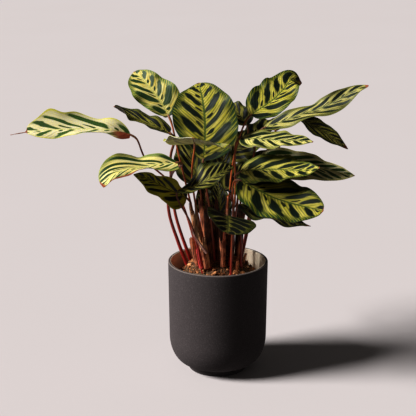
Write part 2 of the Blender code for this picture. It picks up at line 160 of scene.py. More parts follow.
class Tree:
    """A material's node tree, with its Principled shader."""

    def __init__(self, name: str) -> None:
        """Starts a material with nothing but its shader and output.

        Args:
            name: The material's name.
        """
        self.material = bpy.data.materials.new(name)
        self.material.use_nodes = True
        self.nodes = self.material.node_tree.nodes
        self.links = self.material.node_tree.links
        self.shader = self.nodes["Principled BSDF"]

    def node(
        self, kind: str, settings: dict | None = None, inputs: dict | None = None
    ) -> bpy.types.Node:
        """Adds a node.

        Args:
            kind: The node's type.
            settings: Its properties. The key stops takes a colour ramp's places and colours.
            inputs: Numbers, colours, sockets or values for its input sockets.

        Returns:
            The node.
        """
        made = self.nodes.new(kind)
        for key, setting in (settings or {}).items():
            if key == "stops":
                self.fill_ramp(made.color_ramp, setting)
            else:
                setattr(made, key, setting)
        for key, given in (inputs or {}).items():
            self.feed(made.inputs[key], given)
        return made

    def feed(self, socket: bpy.types.NodeSocket, given: object) -> None:
        """Links something to an input, or sets the input.

        Args:
            socket: The input.
            given: A value or socket to link, or a number or colour to set.
        """
        if isinstance(given, Value):
            self.links.new(given.socket, socket)
        elif isinstance(given, bpy.types.NodeSocket):
            self.links.new(given, socket)
        else:
            socket.default_value = given

    def fill_ramp(self, ramp: bpy.types.ColorRamp, stops: Sequence[tuple[float, Triple]]) -> None:
        """Sets a colour ramp's stops.

        Args:
            ramp: The colour ramp.
            stops: Places from 0 to 1, each with a screen colour.
        """
        while len(ramp.elements) < len(stops):
            ramp.elements.new(1.0)
        for element, (place, colour) in zip(ramp.elements, stops):
            element.position = place
            element.color = linear(colour)

    def math(self, operation: str, *values: "Value | float") -> Value:
        """Adds a Math node and returns its result."""
        made = self.node("ShaderNodeMath", {"operation": operation}, dict(enumerate(values)))
        return Value(self, made.outputs[0])

    def join(self, x: "Value | float", y: "Value | float", z: "Value | float") -> bpy.types.NodeSocket:
        """Three numbers as one vector."""
        return self.node("ShaderNodeCombineXYZ", None, {"X": x, "Y": y, "Z": z}).outputs[0]

    def split(self, vector: bpy.types.NodeSocket) -> tuple[Value, Value, Value]:
        """A vector's three numbers."""
        made = self.node("ShaderNodeSeparateXYZ", None, {"Vector": vector})
        return tuple(Value(self, output) for output in made.outputs)

    def attribute(self, name: str) -> bpy.types.NodeSocket:
        """The vector that a piece carries under this name."""
        return self.node("ShaderNodeAttribute", {"attribute_name": name}).outputs["Vector"]

    def place(self) -> bpy.types.NodeSocket:
        """The point's place in the object's own coordinates, in metres."""
        return self.node("ShaderNodeTexCoord").outputs["Object"]

    def grain(self, vector: bpy.types.NodeSocket, scale: float, detail: float) -> Value:
        """Soft noise from 0 to 1.

        Args:
            vector: Where it is read.
            scale: How fine it is.
            detail: How many finer layers it has.

        Returns:
            The noise.
        """
        inputs = {"Vector": vector, "Scale": scale, "Detail": detail, "Roughness": NOISE_ROUGHNESS}
        made = self.node("ShaderNodeTexNoise", None, inputs)
        return Value(self, made.outputs[0])

    def chance(self, vector: bpy.types.NodeSocket) -> Value:
        """A chance number from 0 to 1 that is the same wherever the vector is the same."""
        made = self.node("ShaderNodeTexWhiteNoise", None, {"Vector": vector})
        return Value(self, made.outputs["Value"])

    def mix(self, factor: "Value | float", first: object, second: object) -> bpy.types.NodeSocket:
        """Goes from the first colour to the second.

        Args:
            factor: 0 for the first and 1 for the second.
            first: A screen colour or a socket.
            second: A screen colour or a socket.

        Returns:
            The mixed colour.
        """
        ends = [linear(end) if isinstance(end, tuple) else end for end in (first, second)]
        made = self.node("ShaderNodeMix", {"data_type": "RGBA"}, {0: factor, 6: ends[0], 7: ends[1]})
        return made.outputs[2]

    def ramp_colour(self, value: Value, stops: Sequence[tuple[float, Triple]]) -> bpy.types.NodeSocket:
        """Reads a colour off a ramp of screen colours."""
        return self.node("ShaderNodeValToRGB", {"stops": stops}, {"Fac": value}).outputs["Color"]

    def dress(self, colour: object, roughness: "Value | float", height: Value, depth: float) -> None:
        """Feeds the shader.

        Args:
            colour: The base colour.
            roughness: The surface's roughness.
            height: What raises the surface, from 0 to 1.
            depth: How high 1 is, in millimetres.
        """
        inputs = {"Height": height, "Distance": depth * MM, "Strength": 1.0}
        bump = self.node("ShaderNodeBump", None, inputs)
        self.feed(self.shader.inputs["Base Color"], colour)
        self.feed(self.shader.inputs["Roughness"], roughness)
        self.feed(self.shader.inputs["Normal"], bump.outputs[0])


# Modelling with Blender's own tools


def deselect() -> None:
    """Leaves object mode with nothing selected."""
    if bpy.context.mode != "OBJECT":
        bpy.ops.object.mode_set(mode="OBJECT")
    bpy.ops.object.select_all(action="DESELECT")


def pick(obj: bpy.types.Object) -> None:
    """Makes an object the only selected one and the active one.

    Args:
        obj: The object.
    """
    deselect()
    obj.select_set(True)
    bpy.context.view_layer.objects.active = obj


def soften(obj: bpy.types.Object) -> None:
    """Shades the piece smooth, apart from its sharp edges."""
    pick(obj)
    bpy.ops.object.shade_smooth_by_angle(angle=ROUND_ANGLE)


def new_grid(columns: int, rows: int) -> bpy.types.Object:
    """Adds a flat grid that reaches from -1 to 1 both ways.

    Args:
        columns: How many faces it has along X.
        rows: How many faces it has along Y.

    Returns:
        The grid.
    """
    deselect()
    bpy.ops.mesh.primitive_grid_add(x_subdivisions=columns, y_subdivisions=rows, size=2.0)
    return bpy.context.object


def new_curve() -> bpy.types.Curve:
    """Adds a curve.

    Returns:
        Its data, with no splines in it yet.
    """
    deselect()
    bpy.ops.curve.primitive_nurbs_path_add()
    curve = bpy.context.object.data
    curve.splines.clear()
    return curve


def thicken(obj: bpy.types.Object, thickness: float) -> None:
    """Gives a sheet its thickness, half of it to each side.

    Args:
        obj: The sheet.
        thickness: How thick it becomes, in millimetres.
    """
    pick(obj)
    bpy.ops.object.modifier_add(type="SOLIDIFY")
    modifier = obj.modifiers[-1]
    modifier.thickness = thickness * MM
    modifier.offset = 0.0
    bpy.ops.object.modifier_apply(modifier=modifier.name)


def carry(mesh: bpy.types.Mesh, name: str, vectors: Sequence[Sequence[float]]) -> None:
    """Gives each vertex a vector that the materials can read."""
    made = mesh.attributes.new(name, "FLOAT_VECTOR", "POINT")
    made.data.foreach_set("vector", [part for vector in vectors for part in vector])


def settle(
    obj: bpy.types.Object, name: str, materials: Sequence[bpy.types.Material], slot: str, *nodes: str
) -> None:
    """Names a finished piece, dresses it, hangs it on the body's empty and hides its solids.

    Args:
        obj: The piece, with its place in its mesh.
        name: Its name.
        materials: One material for each of its material indices.
        slot: The name of a material slot. It is not used.
        nodes: The solids that it stands for.
    """
    obj.name = obj.data.name = name
    for material in materials:
        obj.data.materials.append(material)
    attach(obj, BODY)
    if nodes:
        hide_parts(*nodes)
    LOG.info("%s: %d faces", name, len(obj.data.polygons))


def turned(profile: Sequence[Pair], sides: int) -> bpy.types.Object:
    """Turns a profile about the upright axis, ring by ring.

    Args:
        profile: Radius and height pairs, from the middle of the top or the inside round to that of
            the underside.
        sides: Vertices in each ring.

    Returns:
        A closed piece.
    """
    deselect()
    radius, height = profile[0]
    place = (0.0, 0.0, height * MM)
    bpy.ops.mesh.primitive_circle_add(
        vertices=sides, radius=radius * MM, fill_type="NGON", location=place
    )
    made = bpy.context.object
    bpy.ops.object.transform_apply(location=True)
    bpy.ops.object.mode_set(mode="EDIT")
    bpy.ops.mesh.select_all(action="SELECT")
    for wider, higher in profile[1:]:
        step = (0.0, 0.0, (higher - height) * MM)
        bpy.ops.mesh.extrude_edges_move(TRANSFORM_OT_translate={"value": step})
        share = wider / radius
        bpy.ops.transform.resize(value=(share, share, 1.0), center_override=(0.0, 0.0, higher * MM))
        radius, height = wider, higher
    bpy.ops.mesh.edge_face_add()
    bpy.ops.mesh.select_all(action="SELECT")
    bpy.ops.mesh.normals_make_consistent(inside=False)
    bpy.ops.object.mode_set(mode="OBJECT")
    return made


def tube(path: Sequence[Vector], radii: Sequence[float]) -> bpy.types.Object:
    """A round tube along a path, with its rings in the path's order.

    Args:
        path: Points in millimetres.
        radii: The tube's radius at each point.

    Returns:
        The tube as a mesh.
    """
    curve = new_curve()
    spline = curve.splines.new("POLY")
    spline.points.add(len(path) - 1)
    for point, place, radius in zip(spline.points, path, radii):
        point.co = (*(place * MM), 1.0)
        point.radius = radius
    spline.use_smooth = True
    curve.bevel_depth = MM
    curve.bevel_resolution = TUBE_ROUNDNESS
    curve.use_fill_caps = True
    bpy.ops.object.convert(target="MESH")
    return bpy.context.object


# Paths, as the solids draw them


def catmull_rom(before: Vector, start: Vector, end: Vector, after: Vector, share: float) -> Vector:
    """Reads a point off a centripetal Catmull-Rom spline.

    Args:
        before: The given point before the start.
        start: Where the share is 0.
        end: Where the share is 1.
        after: The given point after the end.
        share: How far the point is on the way from the start to the end.

    Returns:
        The point.
    """
    knots = [0.0]
    for first, second in ((before, start), (start, end), (end, after)):
        knots.append(knots[-1] + math.sqrt(max((second - first).length, 1e-6)))
    t = knots[1] + share * (knots[2] - knots[1])

    def between(a: Vector, b: Vector, low: float, high: float) -> Vector:
        """The point that t reaches between two knots."""
        return a * ((high - t) / (high - low)) + b * ((t - low) / (high - low))

    a1 = between(before, start, knots[0], knots[1])
    a2 = between(start, end, knots[1], knots[2])
    a3 = between(end, after, knots[2], knots[3])
    b1 = between(a1, a2, knots[0], knots[2])
    b2 = between(a2, a3, knots[1], knots[3])
    return between(b1, b2, knots[1], knots[2])


def smooth_path(points: Sequence[Sequence[float]], count: int) -> list[Vector]:
    """Draws a smooth curve through the given points.

    Args:
        points: The given points.
        count: How many points are wanted.

    Returns:
        Evenly spaced points along the curve.
    """
    given = [Vector(point) for point in points]
    padded = [2 * given[0] - given[1], *given, 2 * given[-1] - given[-2]]
    dense = []
    for i in range(len(given) - 1):
        for step in range(DENSE_STEPS):
            dense.append(catmull_rom(*padded[i : i + 4], step / DENSE_STEPS))
    dense.append(given[-1])
    travelled = [0.0]
    for first, second in zip(dense, dense[1:]):
        travelled.append(travelled[-1] + (second - first).length)
    path = []
    place = 0
    for i in range(count):
        target = travelled[-1] * i / (count - 1)
        while place < len(dense) - 2 and travelled[place + 1] < target:
            place += 1
        share = (target - travelled[place]) / (travelled[place + 1] - travelled[place])
        path.append(dense[place].lerp(dense[place + 1], min(1.0, share)))
    return path


def tangents_of(path: Sequence[Vector]) -> list[Vector]:
    """The way that the path runs at each of its points."""
    ends = [path[0], *path, path[-1]]
    return [(ends[i + 2] - ends[i]).normalized() for i in range(len(path))]


def path_length(path: Sequence[Vector]) -> float:
    """The path's length."""
    return sum((second - first).length for first, second in zip(path, path[1:]))


def value_along(values: Sequence[float], share: float) -> float:
    """Reads a value between evenly spaced ones.

    Args:
        values: The given values.
        share: How far along them it is read, from 0 to 1.

    Returns:
        The value, eased between its neighbours.
    """
    place = share * (len(values) - 1)
    low = min(int(place), len(values) - 2)
    return values[low] + (values[low + 1] - values[low]) * smoothstep(0.0, 1.0, place - low)


# Finishes


class Tone(Enum):
    """The kinds of leaf. DARK is darker green, partly the leaves' own and partly painted shade."""

    PALE = "leaf_pale"
    GREEN = "leaf_green"
    DARK = "leaf_dark"


@dataclass(frozen=True)
class Markings:
    """Where a blade's markings lie, from 0 at the midrib to 1 at the margin.

    side_shift is how far the left and right side veins are out of step. A drift is how far chance
    moves or bends something. luck_step keeps the blades apart in the noise.
    """

    side_shift: float = 0.47
    oval_middle: float = 0.42
    oval_half: float = 0.38
    oval_thickness: float = 0.18
    oval_swell: float = 0.15
    dot_middle: float = 0.17
    dot_half: float = 0.11
    dot_thickness: float = 0.1
    dot_share: float = 0.75
    margin_start: float = 0.62
    margin_end: float = 0.88
    margin_drift: float = 0.45
    line_count: float = 5.0
    line_drift: float = 6.0
    lane_drift: float = 0.5
    middle_drift: float = 0.08
    half_drift: float = 0.1
    thickness_drift: float = 0.06
    luck_step: float = 40.0


@dataclass(frozen=True)
class Masks:
    """A blade's markings, its painted shade and its pale, as values in a material's tree."""

    oval: Value
    halo: Value
    line: Value
    streak: Value
    margin: Value
    rim: Value
    rib: Value
    dried: Value
    flushed: Value
    # The painted shade that darkens the whole blade, and the pale, which is partly its own bleach and
    # partly painted light.
    painted_shade: Value
    pale: Value


def read_markings(tree: Tree, marks: Markings) -> Masks:
    """Draws the ovals, dots, fine lines and margin from what each blade carries.

    Args:
        tree: The material's tree.
        marks: Where the markings lie.

    Returns:
        The masks, each from 0 to 1.
    """
    across, vein, dried = tree.split(tree.attribute("pattern"))
    # The look's second number is the leaf's painted shade.
    flushed, painted_shade, luck = tree.split(tree.attribute("look"))
    spread, pale, reached = tree.split(tree.attribute("habit"))
    side = across > 0.0
    reach = abs(across)
    own = luck * marks.luck_step
    lane = vein + side * marks.side_shift
    drift = tree.grain(tree.join(lane * 0.9 + own, reach * 2.5, side * 7.0), 1.0, 1.0)
    lane_bent = lane + (drift - 0.5) * marks.lane_drift

    cell = lane_bent.floor()
    shift = tree.chance(tree.join(cell, side, own))
    stretch = tree.chance(tree.join(cell, side, own + 3.0))
    middle = (shift - 0.5) * marks.middle_drift + reached * 0.5 + marks.oval_middle
    half = (stretch - 0.5) * marks.half_drift + reached + marks.oval_half
    thick = reach * marks.oval_swell + (shift - 0.5) * marks.thickness_drift
    thick = thick + spread + marks.oval_thickness
    big = ((reach - middle) / half) ** 2.0 + ((lane_bent - cell - 0.5) / thick) ** 2.0

    dot_cell = (lane_bent + 0.5).floor()
    missing = tree.chance(tree.join(dot_cell, side, own + 6.0)) > marks.dot_share
    beside = (lane_bent - dot_cell) / marks.dot_thickness
    dot = ((reach - marks.dot_middle) / marks.dot_half) ** 2.0 + beside**2.0 + missing * 9.0
    nearest = big.at_most(dot)

    streak = tree.grain(tree.join(lane * 6.0 + own, reach * 1.4, side * 5.0), 1.0, 2.0)
    fine = tree.grain(tree.join(lane * 17.0 + own, reach * 2.0, side * 3.0), 1.0, 1.0)
    turns = lane * (2.0 * math.pi * marks.line_count) + (streak - 0.5) * marks.line_drift
    edge = reach + (fine - 0.5) * marks.margin_drift
    return Masks(
        oval=nearest.ramp(1.0, 0.8),
        halo=nearest.ramp(1.6, 0.95),
        line=turns.sine() * 0.5 + 0.5,
        streak=streak,
        margin=edge.ramp(marks.margin_start, marks.margin_end),
        rim=(reach + pale * 0.05).ramp(0.94, 1.0),
        rib=reach.ramp(0.05, 0.02),
        dried=(dried + (fine - 0.5) * 0.5 * dried).ramp(0.25, 0.6),
        flushed=(flushed + (fine - 0.5) * 0.6 * flushed).ramp(0.1, 0.7),
        painted_shade=painted_shade,
        pale=pale,
    )


@dataclass(frozen=True)
class LeafFinish:
    """Screen colours of one kind of leaf, above and below.

    A pale blade goes above to a bleach that is partly its own pale colour and partly painted light,
    to sunned at its rim, and below to a painted sheen and bounce light. shade is the near-black of
    the painted shade. lining is how strongly the fine green lines are laid on, and each paint is the
    same for its own colour. ridges and under_ridges are how high the fine ridges stand, in
    millimetres.
    """

    slot: str
    cream: Triple
    lime: Triple
    green: Triple
    edge: Triple
    oval: Triple
    halo: Triple
    rib: Triple
    under_pale: Triple
    under_deep: Triple
    under_oval: Triple
    roughness: float = 0.52
    under_roughness: float = 0.62
    flush: Triple = (148, 68, 42)
    # The near-black colour of the painted shade.
    shade: Triple = (12, 14, 7)
    dried_brown: Triple = (186, 108, 70)
    dried_dark: Triple = (124, 66, 44)
    # Partly a pale blade's own bleach and partly painted light.
    bleach_and_painted_light: Triple = (255, 246, 216)
    sunned: Triple = (228, 220, 60)
    # Painted sheen and bounce light on a pale blade's under face.
    painted_sheen: Triple = (255, 250, 222)
    lining: float = 0.62
    bleach_paint: float = 0.55
    band_paint: float = 0.55
    rim_paint: float = 0.8
    halo_paint: float = 0.6
    rib_paint: float = 0.85
    ridges: float = 0.25
    under_ridges: float = 0.35
    gloss: float = 0.35
    glow: float = 0.3
    glow_depth: float = 1.2
    glow_radius: Triple = (1.0, 0.9, 0.3)

    def upper(self, marks: Markings) -> bpy.types.Material:
        """The painted upper face.

        Args:
            marks: Where the markings lie.

        Returns:
            Its material.
        """
        tree = Tree(self.slot + "_upper")
        masks = read_markings(tree, marks)
        ground = tree.mix(masks.streak.ramp(0.3, 0.7), self.cream, self.lime)
        # The bleach, partly the blade's own pale colour and partly painted light.
        ground = tree.mix(masks.pale * self.bleach_paint, ground, self.bleach_and_painted_light)
        lining = masks.line.ramp(0.5, 0.95) * (1.0 - masks.pale * 0.7) * self.lining
        ground = tree.mix(lining, ground, self.green)
        band = tree.mix(masks.line.ramp(0.7, 0.95) * self.band_paint, self.green, self.lime)
        colour = tree.mix(masks.margin * (1.0 - masks.pale * 0.8), ground, band)
        edge = tree.mix(masks.pale, self.edge, self.sunned)
        colour = tree.mix(masks.rim * self.rim_paint, colour, edge)
        colour = tree.mix(masks.halo * self.halo_paint, colour, self.halo)
        deep = tree.mix(masks.line * 0.25 + masks.pale * 0.3, self.oval, self.halo)
        colour = tree.mix(masks.oval, colour, deep)
        colour = tree.mix(masks.rib * self.rib_paint, colour, self.rib)
        self.finish(tree, masks, colour, self.roughness, self.ridges)
        return tree.material

    def finish(self, tree: Tree, masks: Masks, colour: object, roughness: float, depth: float) -> None:
        """Adds the flushed base, the dried parts, the painted shade and the glow of a lit blade.

        Args:
            tree: The material's tree.
            masks: The blade's markings.
            colour: The painted blade.
            roughness: How rough the blade is at least.
            depth: How high its fine ridges are, in millimetres.
        """
        brown = tree.mix(masks.streak, self.dried_brown, self.dried_dark)
        colour = tree.mix(masks.flushed, colour, self.flush)
        # Painted shade: darkens the blade towards near-black.
        colour = tree.mix(masks.painted_shade, colour, self.shade)
        colour = tree.mix(masks.dried, colour, brown)
        height = masks.line * 0.35 + masks.streak * 0.65
        tree.dress(colour, masks.streak * 0.12 + masks.dried * 0.35 + roughness, height, depth)
        tree.shader.inputs["Specular IOR Level"].default_value = self.gloss
        tree.shader.inputs["Subsurface Weight"].default_value = self.glow
        tree.shader.inputs["Subsurface Scale"].default_value = self.glow_depth * MM
        tree.shader.inputs["Subsurface Radius"].default_value = self.glow_radius

    def under(self, marks: Markings) -> bpy.types.Material:
        """The duller under face, where the ovals show through.

        Args:
            marks: Where the markings lie.

        Returns:
            Its material.
        """
        tree = Tree(self.slot + "_under")
        masks = read_markings(tree, marks)
        ground = tree.mix(masks.streak.ramp(0.25, 0.75), self.under_pale, self.under_deep)
        # Painted sheen and bounce light: a pale blade goes silvery below.
        painted_sheen_share = masks.pale.ramp(0.0, 0.6)
        ground = tree.mix(painted_sheen_share, ground, self.painted_sheen)
        colour = tree.mix(masks.margin * (1.0 - painted_sheen_share * 0.8) * 0.7, ground, self.under_deep)
        colour = tree.mix(masks.oval * (1.0 - painted_sheen_share * 0.4) * 0.85, colour, self.under_oval)
        colour = tree.mix(masks.line.ramp(0.6, 1.0) * 0.35, colour, self.under_pale)
        self.finish(tree, masks, colour, self.under_roughness, self.under_ridges)
        return tree.material


@dataclass(frozen=True)
class StalkFinish:
    """Screen colours of the leaf stalks from the foot to the blade; dark is painted shade."""

    foot: Triple = (170, 36, 34)
    middle: Triple = (160, 52, 38)
    top: Triple = (144, 78, 44)
    knuckle: Triple = (150, 104, 70)
    tan: Triple = (206, 104, 48)
    shade: Triple = (52, 16, 14)
    # The near-black of the painted shade.
    dark: Triple = (16, 8, 6)
    streak_paint: float = 0.55
    roughness: float = 0.32
    depth: float = 0.12

    def material(self) -> bpy.types.Material:
        """Reads how far up each point is, the stalk's own hue and the painted shade of its leaf.

        Returns:
            The stalks' material.
        """
        tree = Tree("stalk_skin")
        grown, hue, painted_shade = tree.split(tree.attribute("growth"))
        x, y, z = tree.split(tree.place())
        long_grain = tree.grain(tree.join(x, y, z * 0.07), 900.0, 2.0)
        patches = tree.grain(tree.place(), 60.0, 2.0)
        colour = tree.mix(grown.ramp(0.0, 0.45), self.foot, self.middle)
        colour = tree.mix(grown.ramp(0.35, 0.9), colour, self.top)
        colour = tree.mix(hue * grown.ramp(0.05, 0.6), colour, self.tan)
        colour = tree.mix(grown.ramp(0.9, 0.97), colour, self.knuckle)
        streaks = (long_grain * 0.6 + patches * 0.4).ramp(0.5, 0.8)
        colour = tree.mix(streaks * self.streak_paint, colour, self.shade)
        # Painted shade from the leaf darkens the stalk towards near-black.
        colour = tree.mix(painted_shade, colour, self.dark)
        tree.dress(colour, patches * 0.2 + self.roughness, long_grain, self.depth)
        return tree.material


@dataclass(frozen=True)
class HuskFinish:
    """Screen colours of dried stalks, sheaths and shreds, and of the coir fibres."""

    name: str
    pale: Triple
    brown: Triple
    dark: Triple
    roughness: float = 0.8
    depth: float = 0.5

    def material(self) -> bpy.types.Material:
        """Lays fibres up the piece, pale to dark.

        Returns:
            Its material.
        """
        tree = Tree(self.name)
        x, y, z = tree.split(tree.place())
        fibres = tree.grain(tree.join(x, y, z * 0.06), 1100.0, 3.0)
        patches = tree.grain(tree.place(), 90.0, 2.0)
        colour = tree.mix(patches.ramp(0.35, 0.65), self.brown, self.pale)
        colour = tree.mix(fibres.ramp(0.45, 0.68), colour, self.dark)
        tree.dress(colour, self.roughness, fibres, self.depth)
        return tree.material


@dataclass(frozen=True)
class BarkFinish:
    """Screen colours of the bark mix, darkest first. scale is how fine its crumbs are."""

    name: str
    scale: float
    stops: tuple
    per_chip: bool = False
    roughness: float = 0.92
    depth: float = 0.8

    def material(self) -> bpy.types.Material:
        """Makes crumbly bark, with a shade of its own for each chip that carries one.

        Returns:
            Its material.
        """
        tree = Tree(self.name)
        crumbs = tree.grain(tree.place(), self.scale, 4.0)
        shade = crumbs
        if self.per_chip:
            own, _, _ = tree.split(tree.attribute("shade"))
            shade = own * 0.75 + crumbs * 0.4 - 0.08
        tree.dress(tree.ramp_colour(shade, self.stops), self.roughness, crumbs, self.depth)
        return tree.material


GROUND_FINISH = BarkFinish(
    "bark_ground", 420.0, ((0.3, (24, 17, 12)), (0.5, (84, 62, 40)), (0.75, (160, 124, 86)))
)
CHIP_FINISH = BarkFinish(
    "bark_chip",
    700.0,
    (
        (0.0, (34, 23, 16)),
        (0.22, (122, 80, 50)),
        (0.5, (188, 130, 84)),
        (0.78, (230, 166, 112)),
        (1.0, (252, 222, 184)),
    ),
    per_chip=True,
)
COIR_FINISH = HuskFinish("coir", (186, 132, 84), (132, 80, 44), (74, 40, 22))


@dataclass(frozen=True)
class PotFinish:
    """Screen colours of the pot: sanded charcoal outside, cream glaze inside.

    cloudy, sandy and dusty are how strongly the specks and pits show. glaze_low is how far above
    the rounded corner the glaze begins, deep under the bark mix, so the underside stays charcoal.
    depth is how high the grains stand, in millimetres.
    """

    charcoal: Triple = (71, 63, 63)
    speck: Triple = (106, 97, 97)
    pit: Triple = (26, 23, 23)
    lip: Triple = (150, 136, 128)
    cream: Triple = (252, 238, 212)
    cream_deep: Triple = (238, 216, 188)
    cloudy: float = 0.12
    sandy: float = 0.42
    dusty: float = 0.5
    lip_paint: float = 0.6
    roughness: float = 0.88
    glaze_sheen: float = 0.3
    glaze_low: Pair = (6.0, 7.0)
    depth: float = 0.3

    def material(self, pot: "Pot") -> bpy.types.Material:
        """The pot's material.

        Args:
            pot: The pot, whose sizes say where the glaze begins.

        Returns:
            Its material.
        """
        tree = Tree("sanded_charcoal")
        place = tree.place()
        x, y, z = tree.split(place)
        radius = (x * x + y * y) ** 0.5
        outer = (z / MM - pot.height) * (pot.taper / pot.height) + pot.radius
        wall = outer - radius / MM
        above_foot = (z / MM).ramp(*[pot.corner_height + rise for rise in self.glaze_low])
        inside = wall.ramp(pot.glaze_start, pot.glaze_start + 0.5) * above_foot
        clouds = tree.grain(place, 30.0, 3.0)
        sand = tree.grain(place, 640.0, 2.0)
        dust = tree.grain(tree.join(x, y, z * 2.0), 1100.0, 2.0)
        specks = clouds * self.cloudy + sand.ramp(0.5, 0.68) * self.sandy
        body = tree.mix(specks, self.charcoal, self.speck)
        body = tree.mix(dust.ramp(0.5, 0.36) * self.dusty, body, self.pit)
        top = abs(z / MM - pot.height + 0.4).ramp(0.7, 0.2)
        edge = top * wall.ramp(-0.2, 0.2) * wall.ramp(1.6, 0.9)
        body = tree.mix(edge * self.lip_paint, body, self.lip)
        glaze = tree.mix(clouds.ramp(0.3, 0.7), self.cream, self.cream_deep)
        colour = tree.mix(inside, body, glaze)
        roughness = self.roughness - inside * self.glaze_sheen
        tree.dress(colour, roughness, (sand + dust) * 0.5 * (1.0 - inside), self.depth)
        return tree.material


@dataclass(frozen=True)
class FloorFinish:
    """The pale studio floor."""

    pale: Triple = (217, 209, 208)
    dull: Triple = (210, 202, 199)
    roughness: float = 0.9
    depth: float = 0.1

    def material(self) -> bpy.types.Material:
        """Makes smooth pale paper.

        Returns:
            The floor's material.
        """
        tree = Tree("studio_floor")
        clouds = tree.grain(tree.place(), 2.0, 2.0)
        colour = tree.mix(clouds * 0.3, self.pale, self.dull)
        tree.dress(colour, self.roughness, clouds, self.depth)
        return tree.material


LEAF_FINISHES = {
    Tone.PALE: LeafFinish(
        slot=Tone.PALE.value,
        cream=(255, 242, 166),
        lime=(255, 224, 104),
        green=(92, 122, 48),
        edge=(104, 128, 48),
        oval=(34, 62, 26),
        halo=(84, 120, 44),
        rib=(214, 214, 120),
        under_pale=(206, 196, 160),
        under_deep=(160, 150, 116),
        under_oval=(112, 100, 82),
        lining=0.42,
    ),
    Tone.GREEN: LeafFinish(
        slot=Tone.GREEN.value,
        cream=(222, 207, 108),
        lime=(196, 187, 50),
        green=(44, 71, 22),
        edge=(28, 56, 22),
        oval=(12, 25, 15),
        halo=(44, 70, 24),
        rib=(64, 96, 30),
        under_pale=(118, 112, 74),
        under_deep=(70, 72, 38),
        under_oval=(52, 42, 34),
    ),
    # A darker copy of the green finish for the leaves low and deep in the plant: partly their own
    # darker green, partly painted shade.
    Tone.DARK: LeafFinish(
        slot=Tone.DARK.value,
        cream=(208, 196, 110),
        lime=(178, 174, 44),
        green=(34, 50, 18),
        edge=(24, 40, 18),
        oval=(10, 16, 10),
        halo=(26, 38, 14),
        rib=(84, 92, 40),
        under_pale=(96, 88, 58),
        under_deep=(52, 48, 28),
        under_oval=(38, 28, 24),
        # A yellow-green bleach, partly painted light on the dark leaves.
        bleach_and_painted_light=(240, 246, 76),
    ),
}


# The pot and its bark mix


@dataclass
class Pot:
    """The ceramic pot, with the solid's sizes and finer steps.

    glaze_start is how far in from the outside the glaze begins. middle is the smallest ring's radius.
    """

    radius: float = 65.0
    height: float = 148.0
    wall: float = 4.0
    taper: float = 1.6
    lip: float = 1.2
    floor: float = 13.0
    corner_width: float = 22.5
    corner_height: float = 37.0
    foot_radius: float = 41.2
    foot_height: float = 9.0
    foot_undercut: float = 0.3
    foot_slope: float = 2.6
    foot_edge: float = 0.6
    glaze_start: float = 2.6
    middle: float = 0.5
    sides: int = 128
    corner_steps: int = 18
    wall_steps: int = 12
    lip_steps: int = 5

    def outer_radius(self, height: float) -> float:
        """Outside radius of the wall at a height above the rounded corner."""
        return self.radius - self.taper * (self.height - height) / self.height

    def inner_radius(self, height: float) -> float:
        """Inside radius of the wall at a height above the rounded corner."""
        return self.outer_radius(height) - self.wall

    def corner(self, radius: float, level: float, width: float, height: float) -> list[Pair]:
        """A quarter ellipse from the wall down to a flat bottom.

        Args:
            radius: The wall's radius.
            level: The bottom's height.
            width: How far in the ellipse reaches.
            height: How far up it reaches.

        Returns:
            Radius and height pairs.
        """
        turns = [math.pi / 2.0 * step / self.corner_steps for step in range(self.corner_steps + 1)]
        return [
            (radius - width * (1.0 - math.cos(turn)), level + height * (1.0 - math.sin(turn)))
            for turn in turns
        ]

    def inside(self, clearance: float) -> list[Pair]:
        """Draws the inside from the wall to the middle of the floor.

        Args:
            clearance: How far in from the pot's own surface the profile lies.

        Returns:
            Radius and height pairs.
        """
        level = self.floor + clearance
        height = self.corner_height - self.wall
        radius = self.inner_radius(level + height) - clearance
        points = self.corner(radius, level, self.corner_width - self.wall / 2.0, height)
        return points + [(self.middle, level)]

    def rounded_lip(self) -> list[Pair]:
        """Draws the lip from its inner edge over the top to its outer edge.

        Returns:
            Radius and height pairs.
        """
        out = self.outer_radius(self.height - self.lip)
        points = []
        for side, start in ((-1.0, out - self.wall + self.lip), (1.0, out - self.lip)):
            for step in range(self.lip_steps + 1):
                turn = math.pi / 2.0 * step / self.lip_steps
                turn = turn if side < 0 else math.pi / 2.0 - turn
                over = start + side * self.lip * math.cos(turn)
                points.append((over, self.height - self.lip * (1.0 - math.sin(turn))))
        return points

    def build(self) -> None:
        """Turns the pot and dresses it."""
        lip = self.rounded_lip()
        inside = list(reversed(self.inside(0.0)))
        corner_top = self.foot_height + self.corner_height
        outside = self.corner(
            self.outer_radius(corner_top), self.foot_height, self.corner_width, self.corner_height
        )
        foot = [
            (self.foot_radius, self.foot_height - self.foot_undercut),
            (self.foot_radius - self.foot_slope, self.foot_edge),
            (self.foot_radius - self.foot_slope - self.foot_edge, 0.0),
            (self.middle, 0.0),
        ]
        profile = [*inside, *self.rise(inside[-1], lip[0]), *lip, *self.rise(lip[-1], outside[0])]
        made = turned(profile + outside + foot, self.sides)
        soften(made)
        settle(made, "pot_body", [PotFinish().material(self)], "pot_charcoal", "pot")

    def rise(self, start: Pair, end: Pair) -> list[Pair]:
        """Evenly spaced points strictly between two points of the profile."""
        shares = [step / self.wall_steps for step in range(1, self.wall_steps)]
        return [tuple(a + (b - a) * share for a, b in zip(start, end)) for share in shares]


def chance_place(chance: random.Random, limit: float) -> Pair:
    """Picks a place round the pot's middle by chance.

    Args:
        chance: Where the chance numbers come from.
        limit: How far from the middle it may be.

    Returns:
        Its X and Y.
    """
    out = limit * math.sqrt(chance.random())
    turn = chance.uniform(0.0, 2.0 * math.pi)
    return out * math.cos(turn), out * math.sin(turn)


